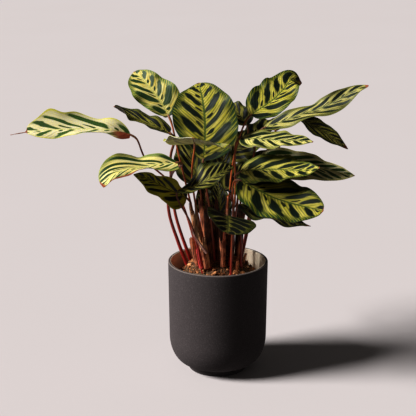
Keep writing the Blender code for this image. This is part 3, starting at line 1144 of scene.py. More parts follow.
@dataclass
class BarkMix:
    """The heaped bark and coir, with its loose chips and fibres.

    A margin is how far from the pot's wall the loose pieces stay. chip_forms are widths and depths
    beside a length of 1. large_rarity and pale_rarity are how rare the large and the pale chips are.
    chip_lean is how far a chip leans about its length and its width, and chip_lift is how far its
    middle stands above the mound, in its own sizes. crumb_noise is what the fractal takes: how
    quickly its layers fade, how much finer each one is and how many there are. top_slack is how far
    below its edge a vertex still counts as the top's.
    """

    pot: Pot
    top: float = 153.0
    edge: float = 121.0
    spread: float = 1.8
    clearance: float = 0.5
    bump: float = 1.5
    crumble: float = 1.6
    crumb_scale: float = 0.28
    crumb_noise: tuple = (0.6, 2.2, 3)
    top_slack: float = 0.3
    rings: int = 44
    sides: int = 120
    chips: int = 1300
    chip_forms: tuple = ((0.75, 0.4), (0.5, 0.28), (0.85, 0.55), (0.3, 0.22), (0.6, 0.5))
    chip_uneven: Pair = (0.72, 1.2)
    chip_size: Pair = (1.3, 4.8)
    large_rarity: float = 2.2
    pale_rarity: float = 1.5
    chip_lean: Pair = (0.6, 0.4)
    chip_lift: Pair = (-0.1, 0.45)
    chip_margin: float = 3.0
    fibres: int = 170
    fibre_length: Pair = (7.0, 20.0)
    fibre_arch: Pair = (0.5, 3.0)
    fibre_bend: float = 0.28
    fibre_lift: float = 0.6
    fibre_radius: float = 0.28
    fibre_taper: float = 0.12
    fibre_points: int = 8
    fibre_margin: float = 6.0
    seed: int = 5

    def height_at(self, x: float, y: float) -> float:
        """Reads the height of the mound, as the solid has it.

        Args:
            x: How far right of the pot's middle.
            y: How far behind it.

        Returns:
            The height.
        """
        out = min(1.0, math.hypot(x, y) / self.pot.inner_radius(self.edge))
        mound = self.edge + (self.top - self.edge) * (1.0 + math.cos(math.pi * out**self.spread)) / 2.0
        lumps = math.sin(x * 0.31 + 1.0) * math.cos(y * 0.27) + 0.6 * math.sin(x * 0.17 - y * 0.41)
        return mound + self.bump * lumps * (1.0 - out**4)

    def build_mound(self) -> None:
        """The mound itself, dark and crumbly."""
        rim = self.pot.inner_radius(self.edge) - self.clearance
        rings = [rim * ring / self.rings for ring in range(self.rings + 1)]
        profile = [(max(self.pot.middle, ring), self.edge) for ring in rings]
        profile += self.pot.inside(self.clearance)
        made = turned(profile, self.sides)
        for vertex in made.data.vertices:
            if vertex.co.z > (self.edge - self.top_slack) * MM:
                x, y = vertex.co.x / MM, vertex.co.y / MM
                crumbs = noise.fractal(Vector((x, y, 0.0)) * self.crumb_scale, *self.crumb_noise)
                vertex.co.z = (self.height_at(x, y) + self.crumble * crumbs) * MM
        soften(made)
        settle(made, "bark_mound", [GROUND_FINISH.material()], "bark_mix", "soil")

    def chip_shapes(self) -> list[tuple[list[Vector], list[list[int]]]]:
        """Shapes a few chips, each about 2 across.

        Returns:
            The vertices and faces of each.
        """
        chance = random.Random(self.seed)
        shapes = []
        for width, depth in self.chip_forms:
            deselect()
            bpy.ops.mesh.primitive_ico_sphere_add(subdivisions=1, radius=1.0)
            made = bpy.context.object
            bpy.ops.transform.resize(value=(1.0, width, depth))
            bpy.ops.object.transform_apply(scale=True)
            points = []
            for vertex in made.data.vertices:
                points.append(vertex.co * chance.uniform(*self.chip_uneven))
            shapes.append((points, [list(face.vertices) for face in made.data.polygons]))
            bpy.ops.object.delete()
        return shapes

    def build_chips(self) -> None:
        """Loose chips over the mound, each one turned and shaded its own way."""
        chance = random.Random(self.seed + 1)
        shapes = self.chip_shapes()
        limit = self.pot.inner_radius(self.edge) - self.chip_margin
        small, large = self.chip_size
        points, faces, shades = [], [], []
        for _ in range(self.chips):
            x, y = chance_place(chance, limit)
            size = small + (large - small) * chance.random() ** self.large_rarity
            shape, shape_faces = chance.choice(shapes)
            spin = Matrix.Rotation(chance.uniform(0.0, 2.0 * math.pi), 3, "Z")
            tip = Matrix.Rotation(chance.gauss(0.0, self.chip_lean[0]), 3, "X")
            tip = tip @ Matrix.Rotation(chance.gauss(0.0, self.chip_lean[1]), 3, "Y")
            centre = Vector((x, y, self.height_at(x, y) + size * chance.uniform(*self.chip_lift)))
            first = len(points)
            points += [(spin @ tip @ (point * size) + centre) * MM for point in shape]
            faces += [[first + corner for corner in face] for face in shape_faces]
            shades += [(chance.random() ** self.pale_rarity, 0.0, 0.0)] * len(shape)
        mesh = bpy.data.meshes.new("chips")
        mesh.from_pydata(points, [], faces)
        carry(mesh, "shade", shades)
        made = bpy.data.objects.new("chips", mesh)
        bpy.context.scene.collection.objects.link(made)
        settle(made, "bark_chips", [CHIP_FINISH.material()], "bark_mix")

    def build_fibres(self) -> None:
        """Coir fibres that lie in loose curls between the chips."""
        chance = random.Random(self.seed + 2)
        curve = new_curve()
        limit = self.pot.inner_radius(self.edge) - self.fibre_margin
        for _ in range(self.fibres):
            x, y = chance_place(chance, limit)
            heading = chance.uniform(0.0, 2.0 * math.pi)
            bend = chance.gauss(0.0, self.fibre_bend)
            length = chance.uniform(*self.fibre_length)
            arch = chance.uniform(*self.fibre_arch)
            spline = curve.splines.new("POLY")
            spline.points.add(self.fibre_points - 1)
            for i, point in enumerate(spline.points):
                share = i / (self.fibre_points - 1)
                x += math.cos(heading) * length / self.fibre_points
                y += math.sin(heading) * length / self.fibre_points
                heading += bend
                inward = min(1.0, limit / max(1.0, math.hypot(x, y)))
                x, y = x * inward, y * inward
                z = self.height_at(x, y) + self.fibre_lift + arch * math.sin(math.pi * share)
                point.co = (x * MM, y * MM, z * MM, 1.0)
                point.radius = self.fibre_radius - self.fibre_taper * share
        curve.dimensions = "3D"
        curve.bevel_depth = MM
        curve.bevel_resolution = 0
        bpy.ops.object.convert(target="MESH")
        settle(bpy.context.object, "coir_fibres", [COIR_FINISH.material()], "bark_mix")

    def build(self) -> None:
        """Builds the mound, the chips and the fibres."""
        self.build_mound()
        self.build_chips()
        self.build_fibres()


# Leaves and their stalks


@dataclass(frozen=True)
class StalkShape:
    """How every stalk swells and tapers, as in the solids, and how it runs on as the blade's rib.

    rib_sink is how far under the midrib the rib's middle lies, in its own radii. Growth goes from 0
    at the foot over stalk_growth at the blade's base, and rib_growth more at the rib's end.
    """

    foot: float = 1.9
    slim: float = 1.25
    neck: float = 1.1
    knuckle: float = 1.45
    turn: float = 0.8
    bow: float = 0.06
    foot_reach: float = 45.0
    knuckle_length: float = 9.0
    knuckle_steepness: float = 3.0
    buried: float = 11.0
    rib_start: float = 0.95
    rib_end: float = 0.25
    rib_taper: float = 0.7
    rib_sink: float = 0.95
    stalk_growth: float = 0.95
    rib_growth: float = 0.05
    steps: int = 64
    rib_steps: int = 26
    rib_share: float = 0.92

    def radius(self, share: float, length: float, girth: float) -> float:
        """Thick at the foot, slim for most of the way, and a knuckle just under the blade.

        Args:
            share: How far up the stalk, from 0 to 1.
            length: The stalk's length.
            girth: What scales its thickness below the knuckle.

        Returns:
            The stalk's radius there.
        """
        slim = self.slim + (self.neck - self.slim) * share
        foot = math.exp(-share * length / self.foot_reach)
        from_middle = (1.0 - share) * length / self.knuckle_length - 0.5
        knuckle = math.exp(-self.knuckle_steepness * from_middle**2)
        return girth * (slim + (self.foot - slim) * foot) + (self.knuckle - slim) * knuckle


@dataclass(frozen=True)
class BladeShape:
    """What all blades share.

    The margin left of the midrib runs ahead of the right one in its notches, waves and frill, in
    turns. crease rounds the fold at the midrib, in square millimetres. vein_slope is how far a side
    vein leans to the tip at the blade's base. It grows by base_rise up to base_end, and by tip_rise
    for each length past tip_start, and by vein_bend at the margin. vein_rounds is how often the
    search for a vein's start runs. quilt_rise is where the swelling between the veins begins and is
    whole, and flush_fade where the reddish base begins and is whole, both across the blade.
    dried_fade is how softly a dried edge begins and ends along it.
    """

    notch_ahead: float = 0.37
    wave_ahead: float = 0.5
    frill_ahead: float = 0.65
    crease: float = 1.5
    vein_slope: float = 0.12
    base_rise: float = 0.62
    base_end: float = 0.35
    tip_rise: float = 0.5
    tip_start: float = 0.45
    vein_bend: float = 0.42
    vein_rounds: int = 24
    quilt_rise: Pair = (0.02, 0.3)
    flush_fade: Pair = (0.35, -0.15)
    dried_fade: float = 0.03


STALK_SHAPE = StalkShape()
BLADE_SHAPE = BladeShape()


@dataclass(frozen=True)
class Leaf:
    """One leaf: a blade shaped round its midrib, and a stalk from the bark mix to the blade.

    The midrib runs from the blade's base to its tip. facing is roughly where the upper face looks.
    widths are the widest halves left and right of the midrib, seen from above with the tip ahead.
    roll turns the blade about its midrib, in degrees, at even steps from base to tip. wave and frill
    are the height, count and phase of the margin's large and small waves. skew moves the widest
    place towards the tip on the left and towards the base on the right. tail is the share of the
    midrib that runs on past the blade as a dried thread. scallop is the depth, count and phase of the
    notches in the outline. girth scales the stalk's thickness.

    lanes counts the side veins that carry an oval, and slant is how far they lean to the tip, left
    and right. spread and longer make the ovals wider and longer. pale thins the green lines and
    bleaches both faces: above, the bleach is partly the leaf's own pale colour and partly painted
    light, and below it is a painted sheen and bounce light. hue goes from a red stalk to an orange
    one. shade is painted shade, which darkens the leaf and its stalk. flush is how far its reddish
    base reaches, and dried_edge is a side, the start and end along the blade, and how far in from
    the margin the brown reaches. solid is False for the small leaves deep in the clump that stand
    for no solid. quilt is how high the blade swells between its side veins, in millimetres.
    end_width is the least half width, at the very base and tip.
    """

    name: str
    midrib: Points
    facing: Triple
    widths: Pair
    root: Pair
    roll: tuple = (0.0, 0.0)
    fold: float = 12.0
    wave: Triple = (2.5, 3.5, 0.0)
    base_power: float = 0.42
    tip_power: float = 0.8
    skew: float = 0.0
    tail: float = 0.0
    via: Points = ()
    girth: float = 1.0
    tone: Tone = Tone.GREEN
    lanes: float = 5.5
    slant: Pair = (1.0, 1.0)
    spread: float = 0.0
    pale: float = 0.0
    longer: float = 0.0
    frill: Triple = (0.5, 6.0, 0.3)
    scallop: Triple = (0.02, 4.0, 0.1)
    hue: float = 0.1
    shade: float = 0.0
    flush: float = 0.0
    dried_tip: float = 0.02
    dried_edge: tuple = ()
    solid: bool = True
    rows: int = 84
    columns: int = 32
    thickness: float = 0.4
    end_width: float = 0.6
    quilt: float = 0.42

    def half_width(self, along: float, across: float) -> float:
        """Measures from the midrib to the margin.

        Args:
            along: 0 at the base and 1 at the tip.
            across: Below 0 for the left side.

        Returns:
            The distance.
        """
        base, tip = self.base_power, self.tip_power
        along = min(1.0, along / (1.0 - self.tail))
        along = along ** (1.0 + self.skew if across < 0 else 1.0 - self.skew)
        peak = base / (base + tip)
        highest = peak**base * (1.0 - peak) ** tip
        rounded = max(along, 0.0) ** base * max(1.0 - along, 0.0) ** tip / highest
        widest = self.widths[0] if across < 0 else self.widths[1]
        depth, count, phase = self.scallop
        ahead = BLADE_SHAPE.notch_ahead if across < 0 else 0.0
        notched = 1.0 - depth * (0.5 + 0.5 * math.sin(2.0 * math.pi * (count * along + phase + ahead)))
        return max(widest * rounded * notched, self.end_width)

    def normal_at(self, tangent: Vector, along: float) -> Vector:
        """Finds the way that the upper face looks at a point of the midrib.

        Args:
            tangent: The way that the midrib runs there.
            along: 0 at the base and 1 at the tip.

        Returns:
            A vector of length 1.
        """
        facing = Vector(self.facing)
        normal = (facing - tangent * facing.dot(tangent)).normalized()
        normal.rotate(Matrix.Rotation(math.radians(value_along(self.roll, along)), 3, tangent))
        return normal

    def vein_start(self, travelled: float, reach: float, length: float, right: bool) -> float:
        """Where the side vein through a point leaves the midrib.

        Args:
            travelled: How far along the midrib the point is, in millimetres.
            reach: How far from the midrib it is.
            length: The midrib's length.
            right: Whether it is right of the midrib.

        Returns:
            The share of the midrib's length, below 0 for the veins of the base.
        """
        shape = BLADE_SHAPE
        start = travelled
        slant = self.slant[right]
        bend = shape.vein_bend * reach / self.widths[right]
        for _ in range(shape.vein_rounds):
            share = start / length
            slope = shape.vein_slope + shape.base_rise * clamp(share / shape.base_end)
            slope += shape.tip_rise * max(0.0, share - shape.tip_start)
            target = travelled - slant * reach * (slope + bend)
            start += (target - start) * 0.5
        return start / length

    def point(
        self, centre: Vector, tangent: Vector, along: float, across: float, lane: float
    ) -> Vector:
        """A point of the blade's middle surface, in millimetres.

        Args:
            centre: The midrib's point.
            tangent: The way that the midrib runs there.
            along: 0 at the base and 1 at the tip.
            across: From -1 to 1 between the margins.
            lane: The side vein that passes through the point, counted from the base.

        Returns:
            The point.
        """
        shape = BLADE_SHAPE
        normal = self.normal_at(tangent, along)
        side = tangent.cross(normal)
        reach = self.half_width(along, across) * across
        fold = math.radians(self.fold)
        swing = math.sin(math.pi * along)
        left = 1.0 if across < 0 else 0.0
        height, count, phase = self.wave
        curl = math.sin(2.0 * math.pi * (count * along + phase + shape.wave_ahead * left))
        ripple = height * curl * across**2 * swing
        height, count, phase = self.frill
        curl = math.sin(2.0 * math.pi * (count * along + phase + shape.frill_ahead * left))
        ripple += height * curl * across**4 * swing
        quilted = self.quilt * math.sin(2.0 * math.pi * lane)
        quilted = quilted * smoothstep(*shape.quilt_rise, abs(across))
        softened = math.sqrt(reach * reach + shape.crease) - math.sqrt(shape.crease)
        lift = softened * math.sin(fold) + ripple + quilted * (1.0 - across**4)
        return centre + side * (reach * math.cos(fold)) + normal * lift

    def dried_at(self, along: float, across: float) -> float:
        """Says how brown the blade is at a point.

        Args:
            along: 0 at the base and 1 at the tip.
            across: From -1 to 1 between the margins.

        Returns:
            From 0 to 1.
        """
        blade_end = 1.0 - self.tail
        brown = smoothstep(blade_end - self.dried_tip, blade_end, along)
        if self.dried_edge:
            side, start, end, depth = self.dried_edge
            fade = BLADE_SHAPE.dried_fade
            window = smoothstep(start - fade, start + fade, along)
            window *= smoothstep(end + fade, end - fade, along)
            brown = max(brown, window * smoothstep(1.0 - depth, 1.0, across * side))
        return brown

    def flushed_at(self, along: float, across: float) -> float:
        """Says how red the blade's base is at a point, mostly left of the midrib.

        Args:
            along: 0 at the base and 1 at the tip.
            across: From -1 to 1 between the margins.

        Returns:
            From 0 to 1.
        """
        if self.flush == 0.0:
            return 0.0
        return smoothstep(self.flush, 0.0, along) * smoothstep(*BLADE_SHAPE.flush_fade, across)

    def build_blade(self, finishes: dict[Tone, list[bpy.types.Material]]) -> None:
        """Shapes a grid into the blade and gives it its thickness and its markings.

        Args:
            finishes: The upper and under materials of each tone.
        """
        path = smooth_path(self.midrib, self.rows + 1)
        tangents = tangents_of(path)
        length = path_length(path)
        made = new_grid(self.columns, self.rows)
        pattern, look = [], []
        luck = random.Random(self.name).random()
        for vertex in made.data.vertices:
            across = vertex.co.x
            row = round((vertex.co.y + 1.0) / 2.0 * self.rows)
            along = row / self.rows
            reach = self.half_width(along, across) * abs(across)
            lane = self.vein_start(along * length, reach, length, across > 0) * self.lanes
            shifted = lane + (Markings.side_shift if across > 0 else 0.0)
            vertex.co = self.point(path[row], tangents[row], along, across, shifted) * MM
            pattern.append((across, lane, self.dried_at(along, across)))
            # The look carries the leaf's painted shade.
            look.append((self.flushed_at(along, across), self.shade, luck))
        carry(made.data, "pattern", pattern)
        carry(made.data, "look", look)
        carry(made.data, "habit", [(self.spread, self.pale, self.longer)] * len(look))
        upper_faces = len(made.data.polygons)
        thicken(made, self.thickness)
        soften(made)
        for polygon in made.data.polygons[upper_faces:]:
            polygon.material_index = 1
        nodes = ["leaf_" + self.name] if self.solid else []
        settle(made, "blade_" + self.name, finishes[self.tone], self.tone.value, *nodes)

    def stalk_path(self, mix: BarkMix) -> list[Vector]:
        """Draws the stalk's middle.

        Args:
            mix: The bark mix that the stalk stands in.

        Returns:
            Points from its buried end to the blade's base.
        """
        shape = STALK_SHAPE
        base = Vector(self.midrib[0])
        heading = (Vector(self.midrib[1]) - base).normalized()
        root = Vector((*self.root, mix.height_at(*self.root)))
        if self.via:
            middle = [Vector(point) for point in self.via]
        else:
            middle = [root.lerp(base, 0.5) + Vector((0.0, 0.0, shape.bow)) * (base - root).length]
        arrival = (base - middle[-1]).normalized()
        way = (heading + arrival * shape.turn).normalized()
        buried = root - (middle[0] - root).normalized() * shape.buried
        knuckle = base - way * shape.knuckle_length
        return smooth_path([buried, root, *middle, knuckle, base], shape.steps)

    def build_stalk(self, mix: BarkMix, material: bpy.types.Material) -> None:
        """Draws the stalk, which runs on under the blade as its rib.

        Args:
            mix: The bark mix that the stalk stands in.
            material: The stalks' material.
        """
        shape = STALK_SHAPE
        path = self.stalk_path(mix)
        length = path_length(path)
        last = shape.steps - 1
        radii = [shape.radius(i / last, length, self.girth) for i in range(shape.steps)]
        grown = [i / last * shape.stalk_growth for i in range(shape.steps)]
        rib = smooth_path(self.midrib, self.rows + 1)
        tangents = tangents_of(rib)
        for step in range(1, shape.rib_steps + 1):
            share = step / shape.rib_steps
            row = round(share * shape.rib_share * self.rows)
            radius = shape.rib_start + (shape.rib_end - shape.rib_start) * share**shape.rib_taper
            normal = self.normal_at(tangents[row], row / self.rows)
            path.append(rib[row] - normal * (radius * shape.rib_sink))
            radii.append(radius)
            grown.append(shape.stalk_growth + shape.rib_growth * share)
        made = tube(path, radii)
        ring = len(made.data.vertices) // len(path)
        shares = [grown[min(vertex.index // ring, len(path) - 1)] for vertex in made.data.vertices]
        # The third number is the leaf's painted shade.
        carry(made.data, "growth", [(share, self.hue, self.shade) for share in shares])
        soften(made)
        nodes = ["stem_" + self.name] if self.solid else []
        settle(made, "stalk_" + self.name, [material], "stem_red", *nodes)


LEAVES = (
    Leaf(
        "far_left",
        midrib=((-110, -15, 318), (-134, -20, 325), (-171, -25, 327), (-208, -30, 327),
                (-236, -33, 325), (-256, -36, 322)),
        facing=(0.0, -0.42, 0.9),
        widths=(25, 31),
        root=(-24, -4),
        fold=16,
        wave=(7.0, 1.34, 0.33),
        tip_power=0.5,
        skew=-0.35,
        tail=0.13,
        via=((-54, -14, 247), (-91, -19, 287)),
        tone=Tone.PALE,
        lanes=5.2,
        slant=(1.3, 2.5),
        spread=-0.04,
        pale=1.0,
        longer=0.05,
        scallop=(0.2, 3.0, 0.6),
        hue=0.6,
        flush=0.26,
    ),
    Leaf(
        "upper_left",
        midrib=((-63, 10, 337), (-74, 19, 355), (-88, 30, 371), (-99, 40, 381), (-108, 50, 387)),
        facing=(-0.1, -0.8, 0.6),
        widths=(26, 28),
        root=(-20, 24),
        fold=10,
        wave=(2.5, 2.6, 0.3),
        tip_power=0.6,
        skew=0.45,
        via=((-33, 0, 215), (-50, -5, 290)),
        tone=Tone.PALE,
        lanes=5.4,
        slant=(1.5, 0.9),
        spread=0.05,
        scallop=(0.07, 2.6, 0.3),
        hue=0.9,
        shade=0.16,
    ),
    Leaf(
        "narrow_left",
        midrib=((-61, -2, 317), (-79, 0, 326), (-98, 4, 332), (-115, 8, 339), (-132, 8, 349)),
        facing=(0.0, -0.45, 0.9),
        widths=(18, 15),
        root=(-35, 16),
        roll=(0, 10, 35),
        fold=20,
        wave=(2.0, 2.5, 0.6),
        tip_power=0.24,
        skew=0.3,
        via=((-56, 16, 208), (-61, 14, 282)),
        girth=1.5,
        tone=Tone.DARK,
        lanes=6.0,
        slant=(3.0, 3.0),
        spread=0.04,
        hue=0.2,
    ),
    Leaf(
        "centre",
        midrib=((-19, -30, 288), (-17, -24, 313), (-17, -14, 336), (-19, -2, 355), (-22, 12, 368),
                (-25, 28, 376)),
        facing=(0.0, -1.0, 0.3),
        widths=(41, 42),
        root=(-4, -20),
        fold=8,
        wave=(3.0, 3.2, 0.2),
        base_power=0.68,
        skew=0.15,
        hue=0.9,
        shade=0.17,
    ),
    # forward: its pale under face is painted sheen and bounce light.
    Leaf(
        "forward",
        midrib=((-29, -50, 314), (-30, -80, 324), (-30, -112, 333), (-29, -142, 341)),
        facing=(0.0, 0.2, 1.0),
        widths=(46, 36),
        root=(-10, -30),
        roll=(0, -6, -12),
        fold=-4,
        wave=(3.0, 2.6, 0.5),
        via=((-30, -24, 238), (-33, -27, 272)),
        tone=Tone.PALE,
        lanes=6.0,
        slant=(2.6, 2.6),
        spread=0.02,
        pale=0.6,
        hue=0.9,
    ),
    Leaf(
        "low_left",
        midrib=((-51, -45, 289), (-72, -52, 289), (-90, -58, 287), (-111, -66, 286), (-128, -74, 280),
                (-139, -80, 267)),
        facing=(0.0, -0.4, 0.9),
        widths=(17, 25),
        root=(-40, 10),
        roll=(-5, 0, 12),
        fold=14,
        wave=(6.0, 1.56, 0.1),
        tip_power=0.5,
        skew=-0.6,
        via=((-52, 8, 170), (-64, 4, 216), (-60, -2, 262)),
        girth=1.6,
        tone=Tone.PALE,
        lanes=6.0,
        slant=(3.0, 3.6),
        spread=-0.02,
        pale=0.3,
        longer=0.1,
        hue=0.0,
        dried_tip=0.06,
        dried_edge=(-1.0, 0.45, 0.93, 0.3),
    ),
    # hanging_left: its pale bleach is painted light on a leaf in the shade of low_left.
    Leaf(
        "hanging_left",
        midrib=((-40, -16, 236), (-56, -26, 247), (-73, -38, 259), (-88, -48, 270), (-104, -56, 277)),
        facing=(0.35, -0.8, 0.45),
        widths=(25, 15),
        root=(-15, -16),
        fold=14,
        wave=(2.5, 2.2, 0.5),
        frill=(1.6, 4.0, 0.2),
        scallop=(0.24, 1.8, 0.03),
        via=((-25, -8, 184), (-34, -10, 212)),
        tone=Tone.DARK,
        lanes=5.0,
        slant=(3.0, 3.0),
        spread=-0.03,
        pale=1.0,
        hue=0.5,
    ),
    Leaf(
        "behind_centre",
        midrib=((-25, 10, 250), (-31, 14, 271), (-36, 20, 290), (-40, 34, 311)),
        facing=(-0.2, -1.0, 0.3),
        widths=(25, 18),
        root=(-12, 8),
        tone=Tone.DARK,
        lanes=6.0,
        slant=(2.6, 2.6),
        spread=0.08,
    ),
    Leaf(
        "lower_centre",
        midrib=((-48, -43, 254), (-31, -50, 260), (-13, -49, 268), (6, -40, 276), (19, -30, 281)),
        facing=(0.1, -0.5, 0.85),
        widths=(24, 17),
        root=(-20, -30),
        roll=(-20, 0, 10),
        fold=10,
        wave=(3.0, 2.5, 0.4),
        skew=0.5,
        via=((-34, -32, 205),),
        tone=Tone.DARK,
        lanes=7.0,
        slant=(2.0, 2.0),
        spread=0.1,
        shade=0.2,
    ),
    Leaf(
        "upper_right",
        midrib=((41, 5, 339), (55, 12, 347), (70, 20, 356), (83, 30, 367), (94, 40, 377),
                (108, 50, 373)),
        facing=(-0.15, -0.75, 0.65),
        widths=(29, 24),
        root=(10, 6),
        fold=10,
        wave=(2.5, 3.0, 0.0),
        tip_power=0.7,
        via=((20, 0, 285),),
        lanes=5.0,
        slant=(1.1, 1.8),
        spread=0.04,
        hue=1.0,
        dried_tip=0.08,
    ),
    Leaf(
        "far_right",
        midrib=((57, -7, 325), (80, -11, 334), (104, -15, 344), (128, -19, 353), (154, -21, 367),
                (171, -22, 377), (184, -23, 381)),
        facing=(0.1, -0.5, 0.85),
        widths=(13, 17),
        root=(24, 14),
        roll=(0, -5, 20, 0),
        fold=10,
        wave=(4.0, 2.0, 0.3),
        tip_power=0.6,
        slant=(3.2, 3.2),
        spread=0.03,
        pale=0.3,
        hue=0.4,
        shade=0.34,
        dried_tip=0.05,
    ),
    Leaf(
        "drooping_right",
        midrib=((99, 25, 334), (120, 23, 323), (137, 21, 314), (153, 19, 303), (167, 18, 292)),
        facing=(0.4, -0.3, 0.9),
        widths=(12, 17),
        root=(30, 22),
        roll=(0, 30, 20),
        fold=16,
        wave=(1.5, 2.5, 0.0),
        via=((70, 30, 305),),
        tone=Tone.DARK,
        lanes=6.0,
        slant=(3.0, 3.0),
        spread=0.02,
        frill=(0.3, 6.0, 0.3),
        hue=0.4,
        shade=0.05,
        dried_tip=0.16,
    ),
    Leaf(
        "right_upper",
        midrib=((29, -20, 315), (49, -30, 316), (75, -43, 317), (99, -55, 319), (114, -62, 319)),
        facing=(0.1, -0.3, 0.95),
        widths=(23, 29),
        root=(14, -6),
        fold=4,
        wave=(1.8, 3.0, 0.2),
        slant=(1.9, 1.2),
        spread=0.02,
        pale=0.4,
        longer=0.05,
        hue=0.9,
    ),
    Leaf(
        "right_middle",
        midrib=((26, -52, 279), (42, -57, 283), (68, -66, 286), (92, -76, 287), (108, -85, 290),
                (120, -90, 294)),
        facing=(0.1, -0.42, 0.9),
        widths=(28, 32),
        root=(14, -24),
        fold=6,
        wave=(2.0, 3.2, 0.0),
        via=((22, -43, 225), (24, -47, 262)),
        slant=(1.8, 1.1),
        spread=0.05,
        pale=0.1,
        hue=0.4,
        shade=0.08,
    ),
    # right_rear: its pale finish and bleach are partly painted light on a leaf in shade.
    Leaf(
        "right_rear",
        midrib=((54, 12, 285), (78, 3, 284), (105, -11, 280), (133, -25, 276), (155, -34, 273),
                (169, -38, 271)),
        facing=(0.1, -0.5, 0.85),
        widths=(21, 36),
        root=(30, 2),
        fold=4,
        wave=(2.0, 2.6, 0.5),
        via=((47, 6, 236),),
        tone=Tone.PALE,
        lanes=6.0,
        slant=(2.6, 2.6),
        spread=0.06,
        pale=0.9,
        hue=0.3,
    ),
    Leaf(
        "right_front",
        midrib=((26, -60, 271), (47, -72, 262), (67, -84, 255), (88, -96, 251), (107, -106, 249),
                (123, -114, 247)),
        facing=(0.15, -0.65, 0.75),
        widths=(31, 36),
        root=(16, -38),
        fold=8,
        wave=(3.0, 3.0, 0.4),
        tip_power=0.5,
        via=((18, -44, 222),),
        lanes=5.0,
        slant=(1.9, 1.0),
        spread=0.02,
        hue=0.8,
        shade=0.2,
    ),
    Leaf(
        "right_low",
        midrib=((27, -22, 229), (55, -34, 221), (83, -46, 216), (101, -54, 213), (114, -60, 212)),
        facing=(0.2, -0.1, 1.0),
        widths=(20, 30),
        root=(30, -16),
        fold=6,
        wave=(4.5, 2.2, 0.1),
        tone=Tone.DARK,
        lanes=6.0,
        slant=(1.5, 1.5),
        spread=0.14,
        frill=(0.0, 4.0, 0.0),
        hue=0.0,
        shade=0.45,
        dried_tip=0.1,
    ),
    Leaf(
        "front_low",
        midrib=((11, -64, 227), (11, -78, 227), (11, -94, 223), (10, -108, 217)),
        facing=(0.35, -0.2, 0.92),
        widths=(36, 29),
        root=(6, -27),
        fold=10,
        wave=(1.5, 2.0, 0.6),
        base_power=0.3,
        tip_power=0.5,
        via=((8, -35, 200), (11, -47, 241), (12, -57, 249)),
        girth=1.3,
        tone=Tone.DARK,
        lanes=5.0,
        slant=(0.5, 0.5),
        spread=0.16,
        frill=(0.0, 4.0, 0.0),
        hue=0.9,
        shade=0.4,
    ),
    Leaf(
        "top_rear",
        midrib=((37, 24, 322), (29, 34, 332), (18, 46, 340), (5, 58, 344)),
        facing=(0.1, -0.6, 0.8),
        widths=(16, 16),
        root=(6, 22),
        fold=14,
        tone=Tone.DARK,
        slant=(1.5, 1.5),
        spread=0.08,
        shade=0.2,
    ),
    Leaf(
        "rear_right",
        midrib=((38, 34, 303), (58, 50, 312), (80, 68, 316), (98, 84, 312)),
        facing=(0.0, -0.3, 0.95),
        widths=(18, 18),
        root=(17, 32),
        fold=8,
        tone=Tone.DARK,
        slant=(1.5, 1.5),
        spread=0.08,
        shade=0.2,
    ),
    Leaf(
        "inner_high",
        midrib=((5, 9, 258), (6, 10, 276), (7, 14, 294), (7, 20, 311)),
        facing=(0.1, -1.0, 0.2),
        widths=(17, 13),
        root=(0, 14),
        tone=Tone.DARK,
        lanes=6.0,
        slant=(2.4, 2.4),
        spread=0.12,
        shade=0.3,
    ),
    Leaf(
        "inner_low",
        midrib=((2, -8, 206), (2, -9, 222), (1, -8, 238), (0, -4, 254)),
        facing=(0.0, -1.0, 0.1),
        widths=(16, 16),
        root=(1, -6),
        tone=Tone.DARK,
        lanes=6.0,
        slant=(2.4, 2.4),
        spread=0.12,
        shade=0.3,
    ),
    Leaf(
        "back_high",
        midrib=((-16, 52, 306), (-30, 74, 320), (-46, 98, 326), (-62, 122, 320), (-72, 136, 310)),
        facing=(0.0, 0.1, 1.0),
        widths=(26, 27),
        root=(-6, 34),
        fold=10,
        wave=(3.0, 3.0, 0.2),
        tip_power=0.65,
    ),
    Leaf(
        "back_right",
        midrib=((24, 58, 268), (40, 82, 280), (58, 106, 282), (74, 130, 272), (82, 144, 262)),
        facing=(0.1, 0.1, 1.0),
        widths=(26, 25),
        root=(8, 42),
        fold=10,
        wave=(3.0, 3.0, 0.6),
        tip_power=0.65,
    ),
    Leaf(
        "back_side",
        midrib=((50, 42, 236), (72, 58, 248), (94, 76, 250), (114, 92, 240), (124, 100, 232)),
        facing=(0.1, 0.1, 1.0),
        widths=(24, 25),
        root=(30, 34),
        fold=10,
        wave=(3.0, 2.8, 0.0),
        tip_power=0.65,
    ),
    Leaf(
        "back_low",
        midrib=((-8, 66, 212), (-10, 88, 224), (-12, 112, 228), (-16, 136, 220), (-18, 148, 211)),
        facing=(0.0, 0.1, 1.0),
        widths=(22, 23),
        root=(-10, 46),
        wave=(3.0, 2.8, 0.4),
        tip_power=0.65,
        tone=Tone.DARK,
        shade=0.1,
    ),
)


def small_leaf(
    name: str, midrib: Points, facing: Triple, widths: Pair, root: Pair, shade: float = 0.3
) -> Leaf:
    """A small dark leaf deep in the clump with painted shade, which stands for no solid."""
    looks = {"tone": Tone.DARK, "slant": (2.0, 2.0), "spread": 0.1, "shade": shade}
    return Leaf(name, midrib, facing, widths, root, solid=False, **looks)


